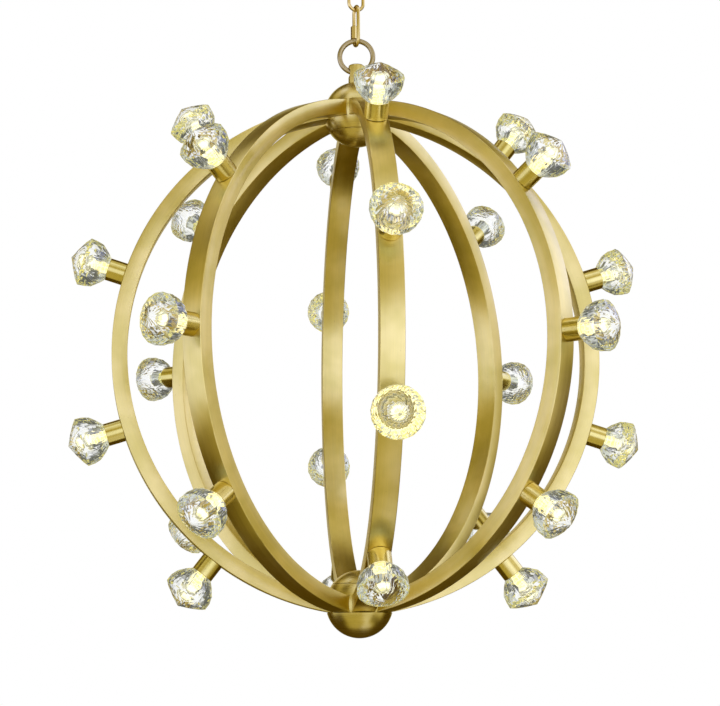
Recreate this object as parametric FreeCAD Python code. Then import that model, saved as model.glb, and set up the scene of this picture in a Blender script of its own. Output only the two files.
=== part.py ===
import FreeCAD, Part
import math
import os

# A globe chandelier on a short chain. Eight bent brass tubes run from an upper ball hub
# to a lower one and carry 28 faceted crystals, each of them round its own small bulb.
# Millimetres, +Z up, front arm towards -Y. The origin is on the ceiling, in the middle
# of the bar that is screwed to the ceiling box.

V = FreeCAD.Vector
ORIGIN = V(0, 0, 0)
X_AXIS = V(1, 0, 0)
Y_AXIS = V(0, 1, 0)
UP = V(0, 0, 1)

# Fits
THREAD_FIT = 0.05        # round a thread, on the radius
HOLE_FIT = 0.1           # round a shank or neck that passes a plain hole, on the radius
SEAT_FIT = 0.1           # between two faces that are clamped together
WIRE_GAP = 0.3           # between two bare wires that hang one in the other
OVERRUN = 2.0            # how far a cutting tool runs past a face

# Globe
GLOBE_RADIUS = 284.0     # centre line to an arm's outer face, at the widest
ARC_SETBACK = 17.0       # an arm's arc is struck from this far behind the centre line
ARM_COUNT = 8
ARM_WIDTH = 26.0
ARM_DEPTH = 18.0
ARM_WALL = 1.5
ARM_EDGE_CHAMFER = 0.7
LAMP_STEP_DEG = 17.4     # half the angle between two lamps of one arm
EVEN_ARM_STEPS = (-3, -1, 1, 3)
ODD_ARM_STEPS = (-2, 0, 2)

# Ball hubs
HUB_LIP = 4.6            # ball outside the corner where the sides of two arms meet
SEAT_STEP = 2.2          # arm ends stand this far outside the place where they would meet
HUB_WALL = 2.0
HUB_CORE_WALL = 11.0
HUB_SEAM_DROP = 23.0     # hub centre to the seam between the body and the inner cap
SEAM_GAP = 0.3
SEAM_LAND = 3.0          # flat ring that the cap closes on
WEB_THICKNESS = 4.0
WEB_HOLE_RADIUS = 3.5
WEB_HOLE_COUNT = 4
BOSS_RADIUS = 8.0
BOSS_DEPTH = 9.0
STEM_RADIUS = 5.0
STEM_BORE_RADIUS = 3.0
STEM_NUT_FLATS = 16.0
STEM_NUT_HEIGHT = 4.0
WIRE_HOLE_RADIUS = 2.2

# Arm ends
PLUG_LENGTH = 14.0
PLUG_FIT = 0.1
WIRE_HOLE_OFFSET = 7.0
ARM_SCREW_RADIUS = 2.0
ARM_SCREW_BITE = 11.0
ARM_SCREW_HEAD_RADIUS = 3.4
ARM_SCREW_HEAD_HEIGHT = 3.6
ARM_SCREW_KEY_FLATS = 3.0
ARM_SCREW_KEY_DEPTH = 2.0

# Lamps
CUP_RADIUS = 13.0
CUP_LENGTH = 19.5
CUP_WALL = 1.2
CUP_FLOOR = 2.0
SPIGOT_RADIUS = 5.0
SPIGOT_BORE_RADIUS = 3.2
SPIGOT_LENGTH = 4.6
BUSH_NECK_RADIUS = 6.4
BUSH_FLANGE_RADIUS = 8.4
BUSH_FLANGE_HEIGHT = 2.4
BUSH_SEAT_GAP = 0.2
HOLDER_RADIUS = 9.0
HOLDER_LENGTH = 11.5
BULB_RADIUS = 6.8
BULB_BASE_LENGTH = 4.5
BULB_LENGTH = 34.0
BULB_PIN_RADIUS = 0.75
BULB_PIN_LENGTH = 7.0
BULB_PIN_SPACING = 9.0
CRYSTAL_RADIUS = 27.8
CRYSTAL_LENGTH = 44.0
CRYSTAL_FACETS = 16
CRYSTAL_BORE_GAP = 1.0
CRYSTAL_TIP_GAP = 2.0
CRYSTAL_NECK_WALL = 2.2
RING_DEPTH = 4.2
SHOULDER_HEIGHT_SHARE = 0.225
SHOULDER_RADIUS_SHARE = 0.85
GIRDLE_HEIGHT_SHARE = 0.66
STAR_HEIGHT_SHARE = 0.84
STAR_RADIUS_SHARE = 0.61

# Eye post and ring
EYE_RADIUS = 9.5
EYE_NECK = 6.4           # metal between the ball and the cross hole
EYE_CROWN = 3.2          # metal above the cross hole
EYE_EDGE = 1.2
INLET_RADIUS = 2.0        # hole for the supply cord, behind
INLET_EDGE = 0.4          # metal between it and the stem's end
STEM_END_WALL = 2.0       # metal between the stem's socket and the cross hole
RING_RADIUS = 19.7       # to the middle of the wire
RING_WIRE_RADIUS = 3.0

# Quick link, and the sleeve nut that closes it
QUICK_HALF_LENGTH = 23.9  # centre to the middle of the wire at either end
QUICK_HALF_WIDTH = 7.4
QUICK_WIRE_RADIUS = 2.1
QUICK_GAP = 8.0
QUICK_NUT_FLATS = 7.0
QUICK_NUT_LENGTH = 16.0
QUICK_NUT_LIFT = 2.4      # from the start of the straight bar to the closed nut

# Chain
CHAIN_LINKS = 3
CHAIN_HALF_LENGTH = 17.0
CHAIN_HALF_WIDTH = 9.0
CHAIN_WIRE_RADIUS = 2.0

# How the hanging parts are turned about the vertical
HANGER_TURN_DEG = -7.2    # the ring's plane, from the plane across the front arm
LINK_TURN_DEG = 20.0      # the quick link, from edge-on to the ring

# Ceiling fitting
CANOPY_RADIUS = 65.0
CANOPY_DEPTH = 24.0
CANOPY_WALL = 1.5
CANOPY_RIM = 4.0
CANOPY_FLAT_RADIUS = 20.0
COLLAR_RADIUS = 13.0
COLLAR_HEIGHT = 9.0
COLLAR_EDGE = 1.2
LOOP_BASE_RADIUS = 8.0
LOOP_BASE_HEIGHT = 6.0
LOOP_RADIUS = 11.0
LOOP_WIRE_RADIUS = 2.5
LOOP_SINK = 4.0           # how deep the loop's wire runs into its base
BAR_END_GAP = 7.5         # between the bar's ends and the canopy's inner wall
BAR_WIDTH = 20.0
BAR_THICKNESS = 2.5
BAR_SLOT_SPACING = 89.0
BAR_SLOT_LENGTH = 12.0
BAR_SLOT_RADIUS = 2.5
LOCKNUT_FLATS = 15.0
LOCKNUT_HEIGHT = 3.5
GROUND_SCREW_PLACE = 22.0
GROUND_SCREW_RADIUS = 2.0
GROUND_HEAD_RADIUS = 4.0
GROUND_HEAD_HEIGHT = 2.4
GROUND_TAIL = 3.0

# Worked out from the sizes above: the globe
HALF_STEP = math.pi / ARM_COUNT
ARC_OUTER = GLOBE_RADIUS + ARC_SETBACK
ARC_INNER = ARC_OUTER - ARM_DEPTH
ARC_MIDDLE = ARC_OUTER - ARM_DEPTH / 2
ARC_CENTRE = V(-ARC_SETBACK, 0, 0)
HUB_RADIUS = ARM_WIDTH / 2 / math.sin(HALF_STEP) + HUB_LIP
SEAT_RADIUS = ARM_WIDTH / 2 / math.tan(HALF_STEP) + SEAT_STEP
ARM_END = SEAT_RADIUS + SEAT_FIT
CORE_BORE_RADIUS = SEAT_RADIUS - HUB_CORE_WALL


def arc_height(arc_radius, reach):
    """Height over the globe's middle of an arc, at a distance from the centre line."""
    return math.sqrt(arc_radius ** 2 - (reach + ARC_SETBACK) ** 2)


HUB_HEIGHT = arc_height(ARC_MIDDLE, (SEAT_RADIUS + HUB_RADIUS) / 2)
SLOT_FLOOR = arc_height(ARC_INNER, HUB_RADIUS) - SEAT_FIT - HUB_HEIGHT
DOME_RIM = arc_height(ARC_OUTER, SEAT_RADIUS) + SEAT_FIT - HUB_HEIGHT
WEB_BOTTOM = SLOT_FLOOR - WEB_THICKNESS
HUB_INSIDE = HUB_RADIUS - HUB_WALL

# Worked out: the hanging parts, from the ceiling down
LOOP_BASE_TOP = -(CANOPY_DEPTH + COLLAR_HEIGHT + SEAT_FIT)
LOOP_BASE_BOTTOM = LOOP_BASE_TOP - LOOP_BASE_HEIGHT
LOOP_CENTRE = LOOP_BASE_BOTTOM + LOOP_SINK - LOOP_RADIUS - LOOP_WIRE_RADIUS
LOOP_PIVOT = LOOP_CENTRE - LOOP_RADIUS
FIRST_LINK_TOP = LOOP_PIVOT + LOOP_WIRE_RADIUS + CHAIN_WIRE_RADIUS + WIRE_GAP
CHAIN_PITCH = 2 * CHAIN_HALF_LENGTH - 2 * CHAIN_WIRE_RADIUS - WIRE_GAP
FIRST_LINK_CENTRE = FIRST_LINK_TOP - CHAIN_HALF_LENGTH
LAST_LINK_CENTRE = FIRST_LINK_CENTRE - (CHAIN_LINKS - 1) * CHAIN_PITCH
QUICK_PIVOT = LAST_LINK_CENTRE - CHAIN_HALF_LENGTH
QUICK_TOP = QUICK_PIVOT + CHAIN_WIRE_RADIUS + QUICK_WIRE_RADIUS + WIRE_GAP
QUICK_CENTRE = QUICK_TOP - QUICK_HALF_LENGTH
RING_PIVOT = QUICK_CENTRE - QUICK_HALF_LENGTH
RING_TOP = RING_PIVOT + QUICK_WIRE_RADIUS + RING_WIRE_RADIUS + WIRE_GAP
RING_CENTRE = RING_TOP - RING_RADIUS
EYE_PIVOT = RING_CENTRE - RING_RADIUS
RING_INSIDE = RING_RADIUS - RING_WIRE_RADIUS
EYE_HOLE_RADIUS = RING_RADIUS - math.sqrt(RING_INSIDE ** 2 - EYE_RADIUS ** 2) + WIRE_GAP
EYE_PIVOT_HEIGHT = HUB_RADIUS + EYE_NECK + EYE_HOLE_RADIUS
UPPER_HUB_CENTRE = EYE_PIVOT - EYE_PIVOT_HEIGHT
GLOBE_CENTRE = UPPER_HUB_CENTRE - HUB_HEIGHT
LOWER_HUB_CENTRE = GLOBE_CENTRE - HUB_HEIGHT

# Worked out: the bar that spans the canopy
BAR_LENGTH = 2 * (CANOPY_RADIUS - CANOPY_WALL - BAR_END_GAP)

# Worked out: one lamp, along its own axis from the arm's outer face
CUP_FOOT = SEAT_FIT
CUP_MOUTH = CUP_FOOT + CUP_LENGTH
CUP_INSIDE = CUP_RADIUS - CUP_WALL
HOLDER_FOOT = CUP_FOOT + CUP_FLOOR + SEAT_FIT
BULB_FOOT = HOLDER_FOOT + HOLDER_LENGTH + SEAT_FIT
BULB_TIP = BULB_FOOT + BULB_LENGTH
CRYSTAL_FOOT = CUP_MOUTH + SEAT_FIT
CRYSTAL_BORE = BULB_RADIUS + CRYSTAL_BORE_GAP
CRYSTAL_NECK = CRYSTAL_BORE + CRYSTAL_NECK_WALL
NECK_FOOT = CUP_MOUTH - RING_DEPTH


def cylinder(radius, low, high):
    """A cylinder on the Z axis."""
    return Part.makeCylinder(radius, high - low, V(0, 0, low), UP)


def rod(radius, start, end):
    """A cylinder from one point to another."""
    return Part.makeCylinder(radius, (end - start).Length, start, end - start)


def hexagon(flats, low, high):
    """A hexagonal bar on the Z axis."""
    corner = flats / math.sqrt(3)
    turns = [math.radians(60 * i) for i in range(7)]
    points = [V(corner * math.cos(a), corner * math.sin(a), low) for a in turns]
    return Part.Face(Part.makePolygon(points)).extrude(V(0, 0, high - low))


def block(x_low, x_high, y_half, z_low, z_high):
    """A box that is centred on Y."""
    return Part.makeBox(x_high - x_low, 2 * y_half, z_high - z_low, V(x_low, -y_half, z_low))


def fused(shapes):
    """One clean solid from shapes that touch or overlap."""
    whole = shapes[0]
    for shape in shapes[1:]:
        whole = whole.fuse(shape)
    return whole.removeSplitter()


def turned(shape, axis, degrees, centre=ORIGIN):
    """A copy of a shape, turned about an axis."""
    copy = shape.copy()
    copy.rotate(centre, axis, degrees)
    return copy


def raised(shape, height):
    """A copy of a shape, moved along Z."""
    copy = shape.copy()
    copy.translate(V(0, 0, height))
    return copy


def around_hub(shape):
    """One copy of a shape for each arm, from one made along +X."""
    step = 360 / ARM_COUNT
    return [turned(shape, UP, i * step) for i in range(ARM_COUNT)]


def ball_slice(radius, low, high):
    """The part of a ball between two heights."""
    return Part.makeSphere(radius).common(cylinder(radius + OVERRUN, low, high))


def save(name, shapes):
    """Write one node, as one solid or as a group of separate ones."""
    shape = shapes[0] if len(shapes) == 1 else Part.makeCompound(shapes)
    shape.exportStep("parts/" + name + ".step")


# Arms: bent rectangular tube, with a hole in the outer wall under each lamp

def tube_section(inset, chamfer):
    """Face across the tube at the globe's middle, drawn in by an inset."""
    x_half = ARM_DEPTH / 2 - inset
    y_half = ARM_WIDTH / 2 - inset
    corners = [V(sx * (x_half - cx), sy * (y_half - cy), 0)
               for sx, sy, cx, cy in ((1, -1, 0, chamfer), (1, 1, 0, chamfer),
                                      (1, 1, chamfer, 0), (-1, 1, chamfer, 0),
                                      (-1, 1, 0, chamfer), (-1, -1, 0, chamfer),
                                      (-1, -1, chamfer, 0), (1, -1, chamfer, 0))]
    if not chamfer:
        corners = corners[::2]
    face = Part.Face(Part.makePolygon(corners + corners[:1]))
    face.translate(V(GLOBE_RADIUS - ARM_DEPTH / 2, 0, 0))
    return face


def bent_tube(face, start_deg, end_deg):
    """A section swept along the arm's arc, between two angles from the globe's middle."""
    face.rotate(ARC_CENTRE, Y_AXIS, -start_deg)
    return face.revolve(ARC_CENTRE, -Y_AXIS, end_deg - start_deg)


def hub_side():
    """All that lies nearer to the centre line than the arm ends."""
    return block(-ARC_OUTER, ARM_END, ARM_WIDTH, -ARC_OUTER, ARC_OUTER)


def end_angle():
    """Angle at which an arm is well inside the hub, in degrees."""
    return math.degrees(math.acos((ARM_END + ARC_SETBACK - OVERRUN) / ARC_OUTER))


def lamp_place(shape, step):
    """A lamp piece made along +Z, set on the arm at a number of lamp steps."""
    copy = turned(shape, Y_AXIS, 90)
    copy.translate(V(GLOBE_RADIUS, 0, 0))
    copy.rotate(ARC_CENTRE, Y_AXIS, -step * LAMP_STEP_DEG)
    return copy


def arm_place(shape, index):
    """A piece made on the arm along +X, turned to its arm; the first one points to -Y."""
    copy = turned(shape, UP, index * 360 / ARM_COUNT - 90)
    copy.translate(V(0, 0, GLOBE_CENTRE))
    return copy


def arm_steps(index):
    """Lamp places of an arm: four on every other arm and three between."""
    return ODD_ARM_STEPS if index % 2 else EVEN_ARM_STEPS


def make_arm(steps):
    reach = end_angle()
    outside = bent_tube(tube_section(0, ARM_EDGE_CHAMFER), -reach, reach)
    inside = bent_tube(tube_section(ARM_WALL, 0), -reach, reach)
    hole = cylinder(BUSH_NECK_RADIUS + HOLE_FIT, -ARM_WALL - OVERRUN, OVERRUN)
    holes = [lamp_place(hole, step) for step in steps]
    return outside.cut([inside, hub_side()] + holes)


def make_arm_plug():
    """Solid brass end of a tube, tapped for its screw and drilled for its leads."""
    section = tube_section(ARM_WALL + PLUG_FIT, 0)
    low = math.degrees(math.acos((ARM_END + ARC_SETBACK) / ARC_MIDDLE))
    low = low - math.degrees(PLUG_LENGTH / ARC_MIDDLE)
    plug = bent_tube(section, low, end_angle())
    far = ARM_END + PLUG_LENGTH + ARM_DEPTH
    tapped = rod(ARM_SCREW_RADIUS + THREAD_FIT, V(0, 0, HUB_HEIGHT), V(far, 0, HUB_HEIGHT))
    wire_hole = rod(WIRE_HOLE_RADIUS, V(0, WIRE_HOLE_OFFSET, HUB_HEIGHT),
                    V(far, WIRE_HOLE_OFFSET, HUB_HEIGHT))
    plug = plug.cut([hub_side(), tapped, wire_hole])
    return raised(plug, -HUB_HEIGHT)


def make_arm_screw():
    """Cap screw from the hub's bore into an arm's end plug."""
    seat = math.sqrt(CORE_BORE_RADIUS ** 2 - ARM_SCREW_HEAD_RADIUS ** 2) - SEAT_FIT
    shank = rod(ARM_SCREW_RADIUS, V(seat, 0, 0), V(ARM_END + ARM_SCREW_BITE, 0, 0))
    head = rod(ARM_SCREW_HEAD_RADIUS, V(seat - ARM_SCREW_HEAD_HEIGHT, 0, 0), V(seat, 0, 0))
    key = hexagon(ARM_SCREW_KEY_FLATS, -OVERRUN, ARM_SCREW_KEY_DEPTH)
    key = turned(key, Y_AXIS, 90)
    key.translate(V(seat - ARM_SCREW_HEAD_HEIGHT, 0, 0))
    return fused([shank, head]).cut(key)


# Ball hubs, made round their own centre with +Z pointing out of the globe

def make_hub_body():
    """Turned body with an open slot for each arm, a bore for the screws and a web."""
    body = ball_slice(HUB_RADIUS, -HUB_SEAM_DROP, DOME_RIM)
    seam_radius = math.sqrt(HUB_RADIUS ** 2 - HUB_SEAM_DROP ** 2)
    cuts = [cylinder(CORE_BORE_RADIUS, SLOT_FLOOR, DOME_RIM + OVERRUN),
            cylinder(seam_radius - SEAM_LAND, -HUB_SEAM_DROP - OVERRUN, WEB_BOTTOM),
            cylinder(STEM_RADIUS + HOLE_FIT, WEB_BOTTOM - OVERRUN, SLOT_FLOOR + OVERRUN)]
    slot = block(SEAT_RADIUS, HUB_RADIUS + OVERRUN, ARM_WIDTH / 2 + SEAT_FIT,
                 SLOT_FLOOR, DOME_RIM + OVERRUN)
    screw_hole = rod(ARM_SCREW_RADIUS + HOLE_FIT, V(STEM_RADIUS, 0, 0), V(HUB_RADIUS, 0, 0))
    wire_hole = rod(WIRE_HOLE_RADIUS, V(STEM_RADIUS, WIRE_HOLE_OFFSET, 0),
                    V(HUB_RADIUS, WIRE_HOLE_OFFSET, 0))
    cuts += around_hub(slot) + around_hub(screw_hole) + around_hub(wire_hole)
    web_hole = cylinder(WEB_HOLE_RADIUS, WEB_BOTTOM - OVERRUN, SLOT_FLOOR + OVERRUN)
    web_hole.translate(V((CORE_BORE_RADIUS + STEM_RADIUS) / 2, 0, 0))
    web_step = 360 / WEB_HOLE_COUNT
    cuts += [turned(web_hole, UP, (i + 0.5) * web_step) for i in range(WEB_HOLE_COUNT)]
    return body.cut(cuts)


def make_boss():
    """Tapped boss inside the pole of a dome or cap, pointing to the hub's centre."""
    boss = ball_slice(HUB_RADIUS - HUB_WALL / 2, HUB_INSIDE - BOSS_DEPTH, HUB_RADIUS)
    boss = boss.common(cylinder(BOSS_RADIUS, 0, HUB_RADIUS))
    hole = cylinder(STEM_RADIUS + THREAD_FIT, 0, HUB_INSIDE - HUB_WALL)
    return boss, hole


def make_shell(rim):
    """Spun half ball from a rim height up to its pole."""
    return ball_slice(HUB_RADIUS, rim, HUB_RADIUS).cut(Part.makeSphere(HUB_INSIDE))


def make_closed_shell(rim):
    """Spun half ball with a boss inside, so that no fastener shows."""
    boss, hole = make_boss()
    return fused([make_shell(rim), boss]).cut(hole)


def make_open_shell():
    """Upper dome, with a hole for the stem under the eye post."""
    hole = cylinder(STEM_RADIUS + HOLE_FIT, 0, HUB_RADIUS + OVERRUN)
    return make_shell(DOME_RIM).cut(hole)


def make_stem(top):
    """Hollow threaded stem that holds a hub together, with a side hole for the leads."""
    bottom = -(HUB_INSIDE - HUB_WALL - SEAT_FIT)
    stem = cylinder(STEM_RADIUS, bottom, top)
    bore = cylinder(STEM_BORE_RADIUS, bottom - OVERRUN, top + OVERRUN)
    side_hole = rod(WIRE_HOLE_RADIUS, V(-HUB_RADIUS, 0, 0), V(HUB_RADIUS, 0, 0))
    return stem.cut([bore, side_hole])


def make_stem_nuts():
    """Two nuts that clamp the body's web on the stem."""
    hole = cylinder(STEM_RADIUS + THREAD_FIT, -HUB_RADIUS, HUB_RADIUS)
    above = hexagon(STEM_NUT_FLATS, SLOT_FLOOR + SEAT_FIT,
                    SLOT_FLOOR + SEAT_FIT + STEM_NUT_HEIGHT)
    below = hexagon(STEM_NUT_FLATS, WEB_BOTTOM - SEAT_FIT - STEM_NUT_HEIGHT,
                    WEB_BOTTOM - SEAT_FIT)
    return [above.cut(hole), below.cut(hole)]


def place_hub(shape, upper):
    """A hub piece set at the top of the globe, or turned over and set at its foot."""
    if upper:
        return raised(shape, UPPER_HUB_CENTRE)
    return raised(turned(shape, X_AXIS, 180), LOWER_HUB_CENTRE)


def save_hub(name, upper, dome, stem):
    """Write the pieces of one hub."""
    cap = turned(make_closed_shell(HUB_SEAM_DROP + SEAM_GAP), X_AXIS, 180)
    pieces = {
        name + "_hub_dome": [dome],
        name + "_hub_body": [make_hub_body()],
        name + "_hub_cap": [cap],
        name + "_hub_stem": [stem],
        name + "_stem_nuts": make_stem_nuts(),
        name + "_arm_screws": around_hub(make_arm_screw()),
        name + "_arm_plugs": around_hub(make_arm_plug()),
    }
    for node, shapes in pieces.items():
        save(node, [place_hub(shape, upper) for shape in shapes])


# Lamps, made along +Z with zero on the arm's outer face

def make_bush():
    """Tapped bush brazed into the arm's outer wall."""
    flange_top = -ARM_WALL - BUSH_SEAT_GAP
    neck = cylinder(BUSH_NECK_RADIUS, flange_top, -BUSH_SEAT_GAP)
    flange = cylinder(BUSH_FLANGE_RADIUS, flange_top - BUSH_FLANGE_HEIGHT, flange_top)
    hole = cylinder(SPIGOT_RADIUS + THREAD_FIT, flange_top - 2 * BUSH_FLANGE_HEIGHT, OVERRUN)
    return fused([neck, flange]).cut(hole)


def make_cup():
    """Turned lamp cup with a hollow threaded spigot."""
    outside = cylinder(CUP_RADIUS, CUP_FOOT, CUP_MOUTH)
    spigot = cylinder(SPIGOT_RADIUS, CUP_FOOT - SPIGOT_LENGTH, CUP_FOOT + CUP_FLOOR)
    inside = cylinder(CUP_INSIDE, CUP_FOOT + CUP_FLOOR, CUP_MOUTH + OVERRUN)
    bore = cylinder(SPIGOT_BORE_RADIUS, CUP_FOOT - SPIGOT_LENGTH - OVERRUN, CUP_MOUTH)
    return fused([outside, spigot]).cut([inside, bore])


def pin_pair(radius, low, high):
    """Two round pins side by side."""
    pins = [cylinder(radius, low, high) for i in range(2)]
    pins[0].translate(V(BULB_PIN_SPACING / 2, 0, 0))
    pins[1].translate(V(-BULB_PIN_SPACING / 2, 0, 0))
    return pins


def make_holder():
    """Ceramic lampholder with two contact holes."""
    body = cylinder(HOLDER_RADIUS, HOLDER_FOOT, HOLDER_FOOT + HOLDER_LENGTH)
    depth = BULB_PIN_LENGTH + OVERRUN
    return body.cut(pin_pair(BULB_PIN_RADIUS + HOLE_FIT, BULB_FOOT - depth, BULB_FOOT))


def make_bulb():
    """Capsule bulb: a base with two pins, and a round-ended glass."""
    foot = cylinder(BULB_RADIUS, BULB_FOOT, BULB_TIP - BULB_RADIUS)
    tip = raised(Part.makeSphere(BULB_RADIUS), BULB_TIP - BULB_RADIUS)
    pins = pin_pair(BULB_PIN_RADIUS, BULB_FOOT - BULB_PIN_LENGTH,
                    BULB_FOOT + BULB_BASE_LENGTH)
    return fused([foot, tip] + pins)


def make_crystal_ring():
    """Threaded ring, cemented on the crystal's neck and screwed into the cup."""
    outside = cylinder(CUP_INSIDE - THREAD_FIT, NECK_FOOT, CUP_MOUTH)
    return outside.cut(cylinder(CRYSTAL_NECK + THREAD_FIT, NECK_FOOT - OVERRUN,
                                CUP_MOUTH + OVERRUN))


def facet_ring(radius, height, half_turns):
    """The corners of a crystal at one height."""
    step = 2 * math.pi / CRYSTAL_FACETS
    turns = [(i + half_turns / 2) * step for i in range(CRYSTAL_FACETS)]
    return [V(radius * math.cos(a), radius * math.sin(a), height) for a in turns]


def triangle(a, b, c):
    return Part.Face(Part.makePolygon([a, b, c, a]))


def facet_band(low, high):
    """Triangles between a ring of corners and the next one, half a facet on."""
    faces = []
    for i in range(CRYSTAL_FACETS):
        j = (i + 1) % CRYSTAL_FACETS
        faces.append(triangle(low[i], low[j], high[i]))
        faces.append(triangle(low[j], high[j], high[i]))
    return faces


def make_crystal():
    """Cut crystal: flared base, wide girdle and a low star-cut point; bored for the bulb."""
    length = CRYSTAL_LENGTH
    foot = facet_ring(CUP_RADIUS, 0, 0)
    shoulder = facet_ring(SHOULDER_RADIUS_SHARE * CRYSTAL_RADIUS,
                          SHOULDER_HEIGHT_SHARE * length, 1)
    girdle = facet_ring(CRYSTAL_RADIUS, GIRDLE_HEIGHT_SHARE * length, 2)
    star = facet_ring(STAR_RADIUS_SHARE * CRYSTAL_RADIUS, STAR_HEIGHT_SHARE * length, 3)
    point = V(0, 0, length)
    faces = [Part.Face(Part.makePolygon(foot + foot[:1]))]
    faces += facet_band(foot, shoulder) + facet_band(shoulder, girdle) + facet_band(girdle, star)
    for i in range(CRYSTAL_FACETS):
        faces.append(triangle(star[i], star[(i + 1) % CRYSTAL_FACETS], point))
    stone = raised(Part.Solid(Part.makeShell(faces)), CRYSTAL_FOOT)
    neck = cylinder(CRYSTAL_NECK, NECK_FOOT, CRYSTAL_FOOT + CUP_WALL)
    bore_end = BULB_TIP + CRYSTAL_TIP_GAP - CRYSTAL_BORE
    bore = fused([cylinder(CRYSTAL_BORE, NECK_FOOT - OVERRUN, bore_end),
                  raised(Part.makeSphere(CRYSTAL_BORE), bore_end)])
    return fused([stone, neck]).cut(bore)


# Wire rings and links, made in the XZ plane round their own centre

def wire_ring(radius, wire_radius):
    return Part.makeTorus(radius, wire_radius, ORIGIN, Y_AXIS)


def oval_link(half_length, half_width, wire_radius):
    """Wire bent to an oval: two straight bars and two half rings."""
    straight = half_length - half_width
    bars = [rod(wire_radius, V(side * half_width, 0, -straight), V(side * half_width, 0, straight))
            for side in (-1, 1)]
    bends = []
    for end in (-1, 1):
        section = Part.makeCircle(wire_radius, V(half_width, 0, end * straight), UP)
        face = Part.Face(Part.Wire(section))
        bends.append(face.revolve(V(0, 0, end * straight), -end * Y_AXIS, 180))
    return fused(bars + bends)


def nut_bottom():
    """Foot of the closed sleeve nut, from the quick link's centre."""
    return QUICK_HALF_WIDTH - QUICK_HALF_LENGTH + QUICK_NUT_LIFT


def make_quick_link():
    """Oval link with a gap in one bar, which its sleeve nut closes."""
    link = oval_link(QUICK_HALF_LENGTH, QUICK_HALF_WIDTH, QUICK_WIRE_RADIUS)
    gap_middle = nut_bottom() + QUICK_NUT_LENGTH / 2
    reach = QUICK_WIRE_RADIUS + SEAT_FIT
    gap = block(-QUICK_HALF_WIDTH - reach, -QUICK_HALF_WIDTH + reach, reach,
                gap_middle - QUICK_GAP / 2, gap_middle + QUICK_GAP / 2)
    return link.cut(gap)


def make_quick_nut():
    nut = hexagon(QUICK_NUT_FLATS, 0, QUICK_NUT_LENGTH)
    hole = cylinder(QUICK_WIRE_RADIUS + THREAD_FIT, -OVERRUN, QUICK_NUT_LENGTH + OVERRUN)
    nut = nut.cut(hole)
    nut.translate(V(-QUICK_HALF_WIDTH, 0, nut_bottom()))
    return nut


def hang(shape, height, edge_on):
    """A hanging piece set at its height, edge-on to the ring or across it."""
    turn = HANGER_TURN_DEG + LINK_TURN_DEG - (90 if edge_on else 0)
    return raised(turned(shape, UP, turn), height)


def make_eye_post():
    """Round post on the upper ball, with a cross hole for the ring and a lead inlet."""
    top = EYE_PIVOT_HEIGHT + EYE_HOLE_RADIUS + EYE_CROWN
    post = cylinder(EYE_RADIUS, 0, top)
    rim = [e for e in post.Edges if e.Closed and abs(e.CenterOfMass.z - top) < SEAT_FIT]
    post = post.makeFillet(EYE_EDGE, rim)
    cross = rod(EYE_HOLE_RADIUS, V(-2 * EYE_RADIUS, 0, EYE_PIVOT_HEIGHT),
                V(2 * EYE_RADIUS, 0, EYE_PIVOT_HEIGHT))
    socket = cylinder(STEM_RADIUS + THREAD_FIT, 0, stem_top_in_post() + SEAT_FIT)
    return post.cut([Part.makeSphere(HUB_RADIUS + SEAT_FIT), cross, socket, make_inlet()])


def stem_top_in_post():
    """Height of the upper stem's end over its hub's centre."""
    return HUB_RADIUS + EYE_NECK - STEM_END_WALL


def make_inlet():
    """Cutter for the hole that lets the supply cord in behind the post."""
    height = stem_top_in_post() - INLET_RADIUS - INLET_EDGE
    return rod(INLET_RADIUS, V(0, 0, height), V(0, 2 * EYE_RADIUS, height))


# Ceiling fitting

def dish(radius, depth, rim, flat_radius):
    """A turned dish under the ceiling: a rim, a round side and a flat foot."""
    run, drop = radius - flat_radius, depth - rim
    bend = (run ** 2 + drop ** 2) / (2 * drop)
    half_turn = math.asin(run / bend) / 2
    swell = V(flat_radius + bend * math.sin(half_turn), 0,
              bend * (1 - math.cos(half_turn)) - depth)
    edge, foot = V(radius, 0, -rim), V(flat_radius, 0, -depth)
    corners = [foot, V(0, 0, -depth), ORIGIN, V(radius, 0, 0), edge]
    sides = [Part.LineSegment(a, b).toShape() for a, b in zip(corners, corners[1:])]
    sides.append(Part.Arc(edge, swell, foot).toShape())
    return Part.Face(Part.Wire(sides)).revolve(ORIGIN, UP, 360)


def make_canopy():
    outside = dish(CANOPY_RADIUS, CANOPY_DEPTH, CANOPY_RIM, CANOPY_FLAT_RADIUS)
    inside = dish(CANOPY_RADIUS - CANOPY_WALL, CANOPY_DEPTH - CANOPY_WALL, CANOPY_RIM,
                  CANOPY_FLAT_RADIUS - CANOPY_WALL)
    hole = cylinder(STEM_RADIUS + HOLE_FIT, -CANOPY_DEPTH - OVERRUN, 0)
    return outside.cut([inside, hole])


def make_collar():
    """Screw collar that carries the canopy."""
    top = -CANOPY_DEPTH - SEAT_FIT / 2
    collar = cylinder(COLLAR_RADIUS, top - COLLAR_HEIGHT, top)
    edges = [e for e in collar.Edges if e.Closed]
    collar = collar.makeChamfer(COLLAR_EDGE, edges)
    return collar.cut(cylinder(STEM_RADIUS + THREAD_FIT, top - COLLAR_HEIGHT - OVERRUN, 0))


def make_loop():
    """Ring on a hollow threaded shank."""
    ring = raised(wire_ring(LOOP_RADIUS, LOOP_WIRE_RADIUS), LOOP_CENTRE)
    base = cylinder(LOOP_BASE_RADIUS, LOOP_BASE_BOTTOM, LOOP_BASE_TOP)
    shank = cylinder(STEM_RADIUS, LOOP_BASE_BOTTOM, 0)
    loop = fused([base, shank, ring])
    return loop.cut(cylinder(STEM_BORE_RADIUS, LOOP_CENTRE, OVERRUN))


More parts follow.
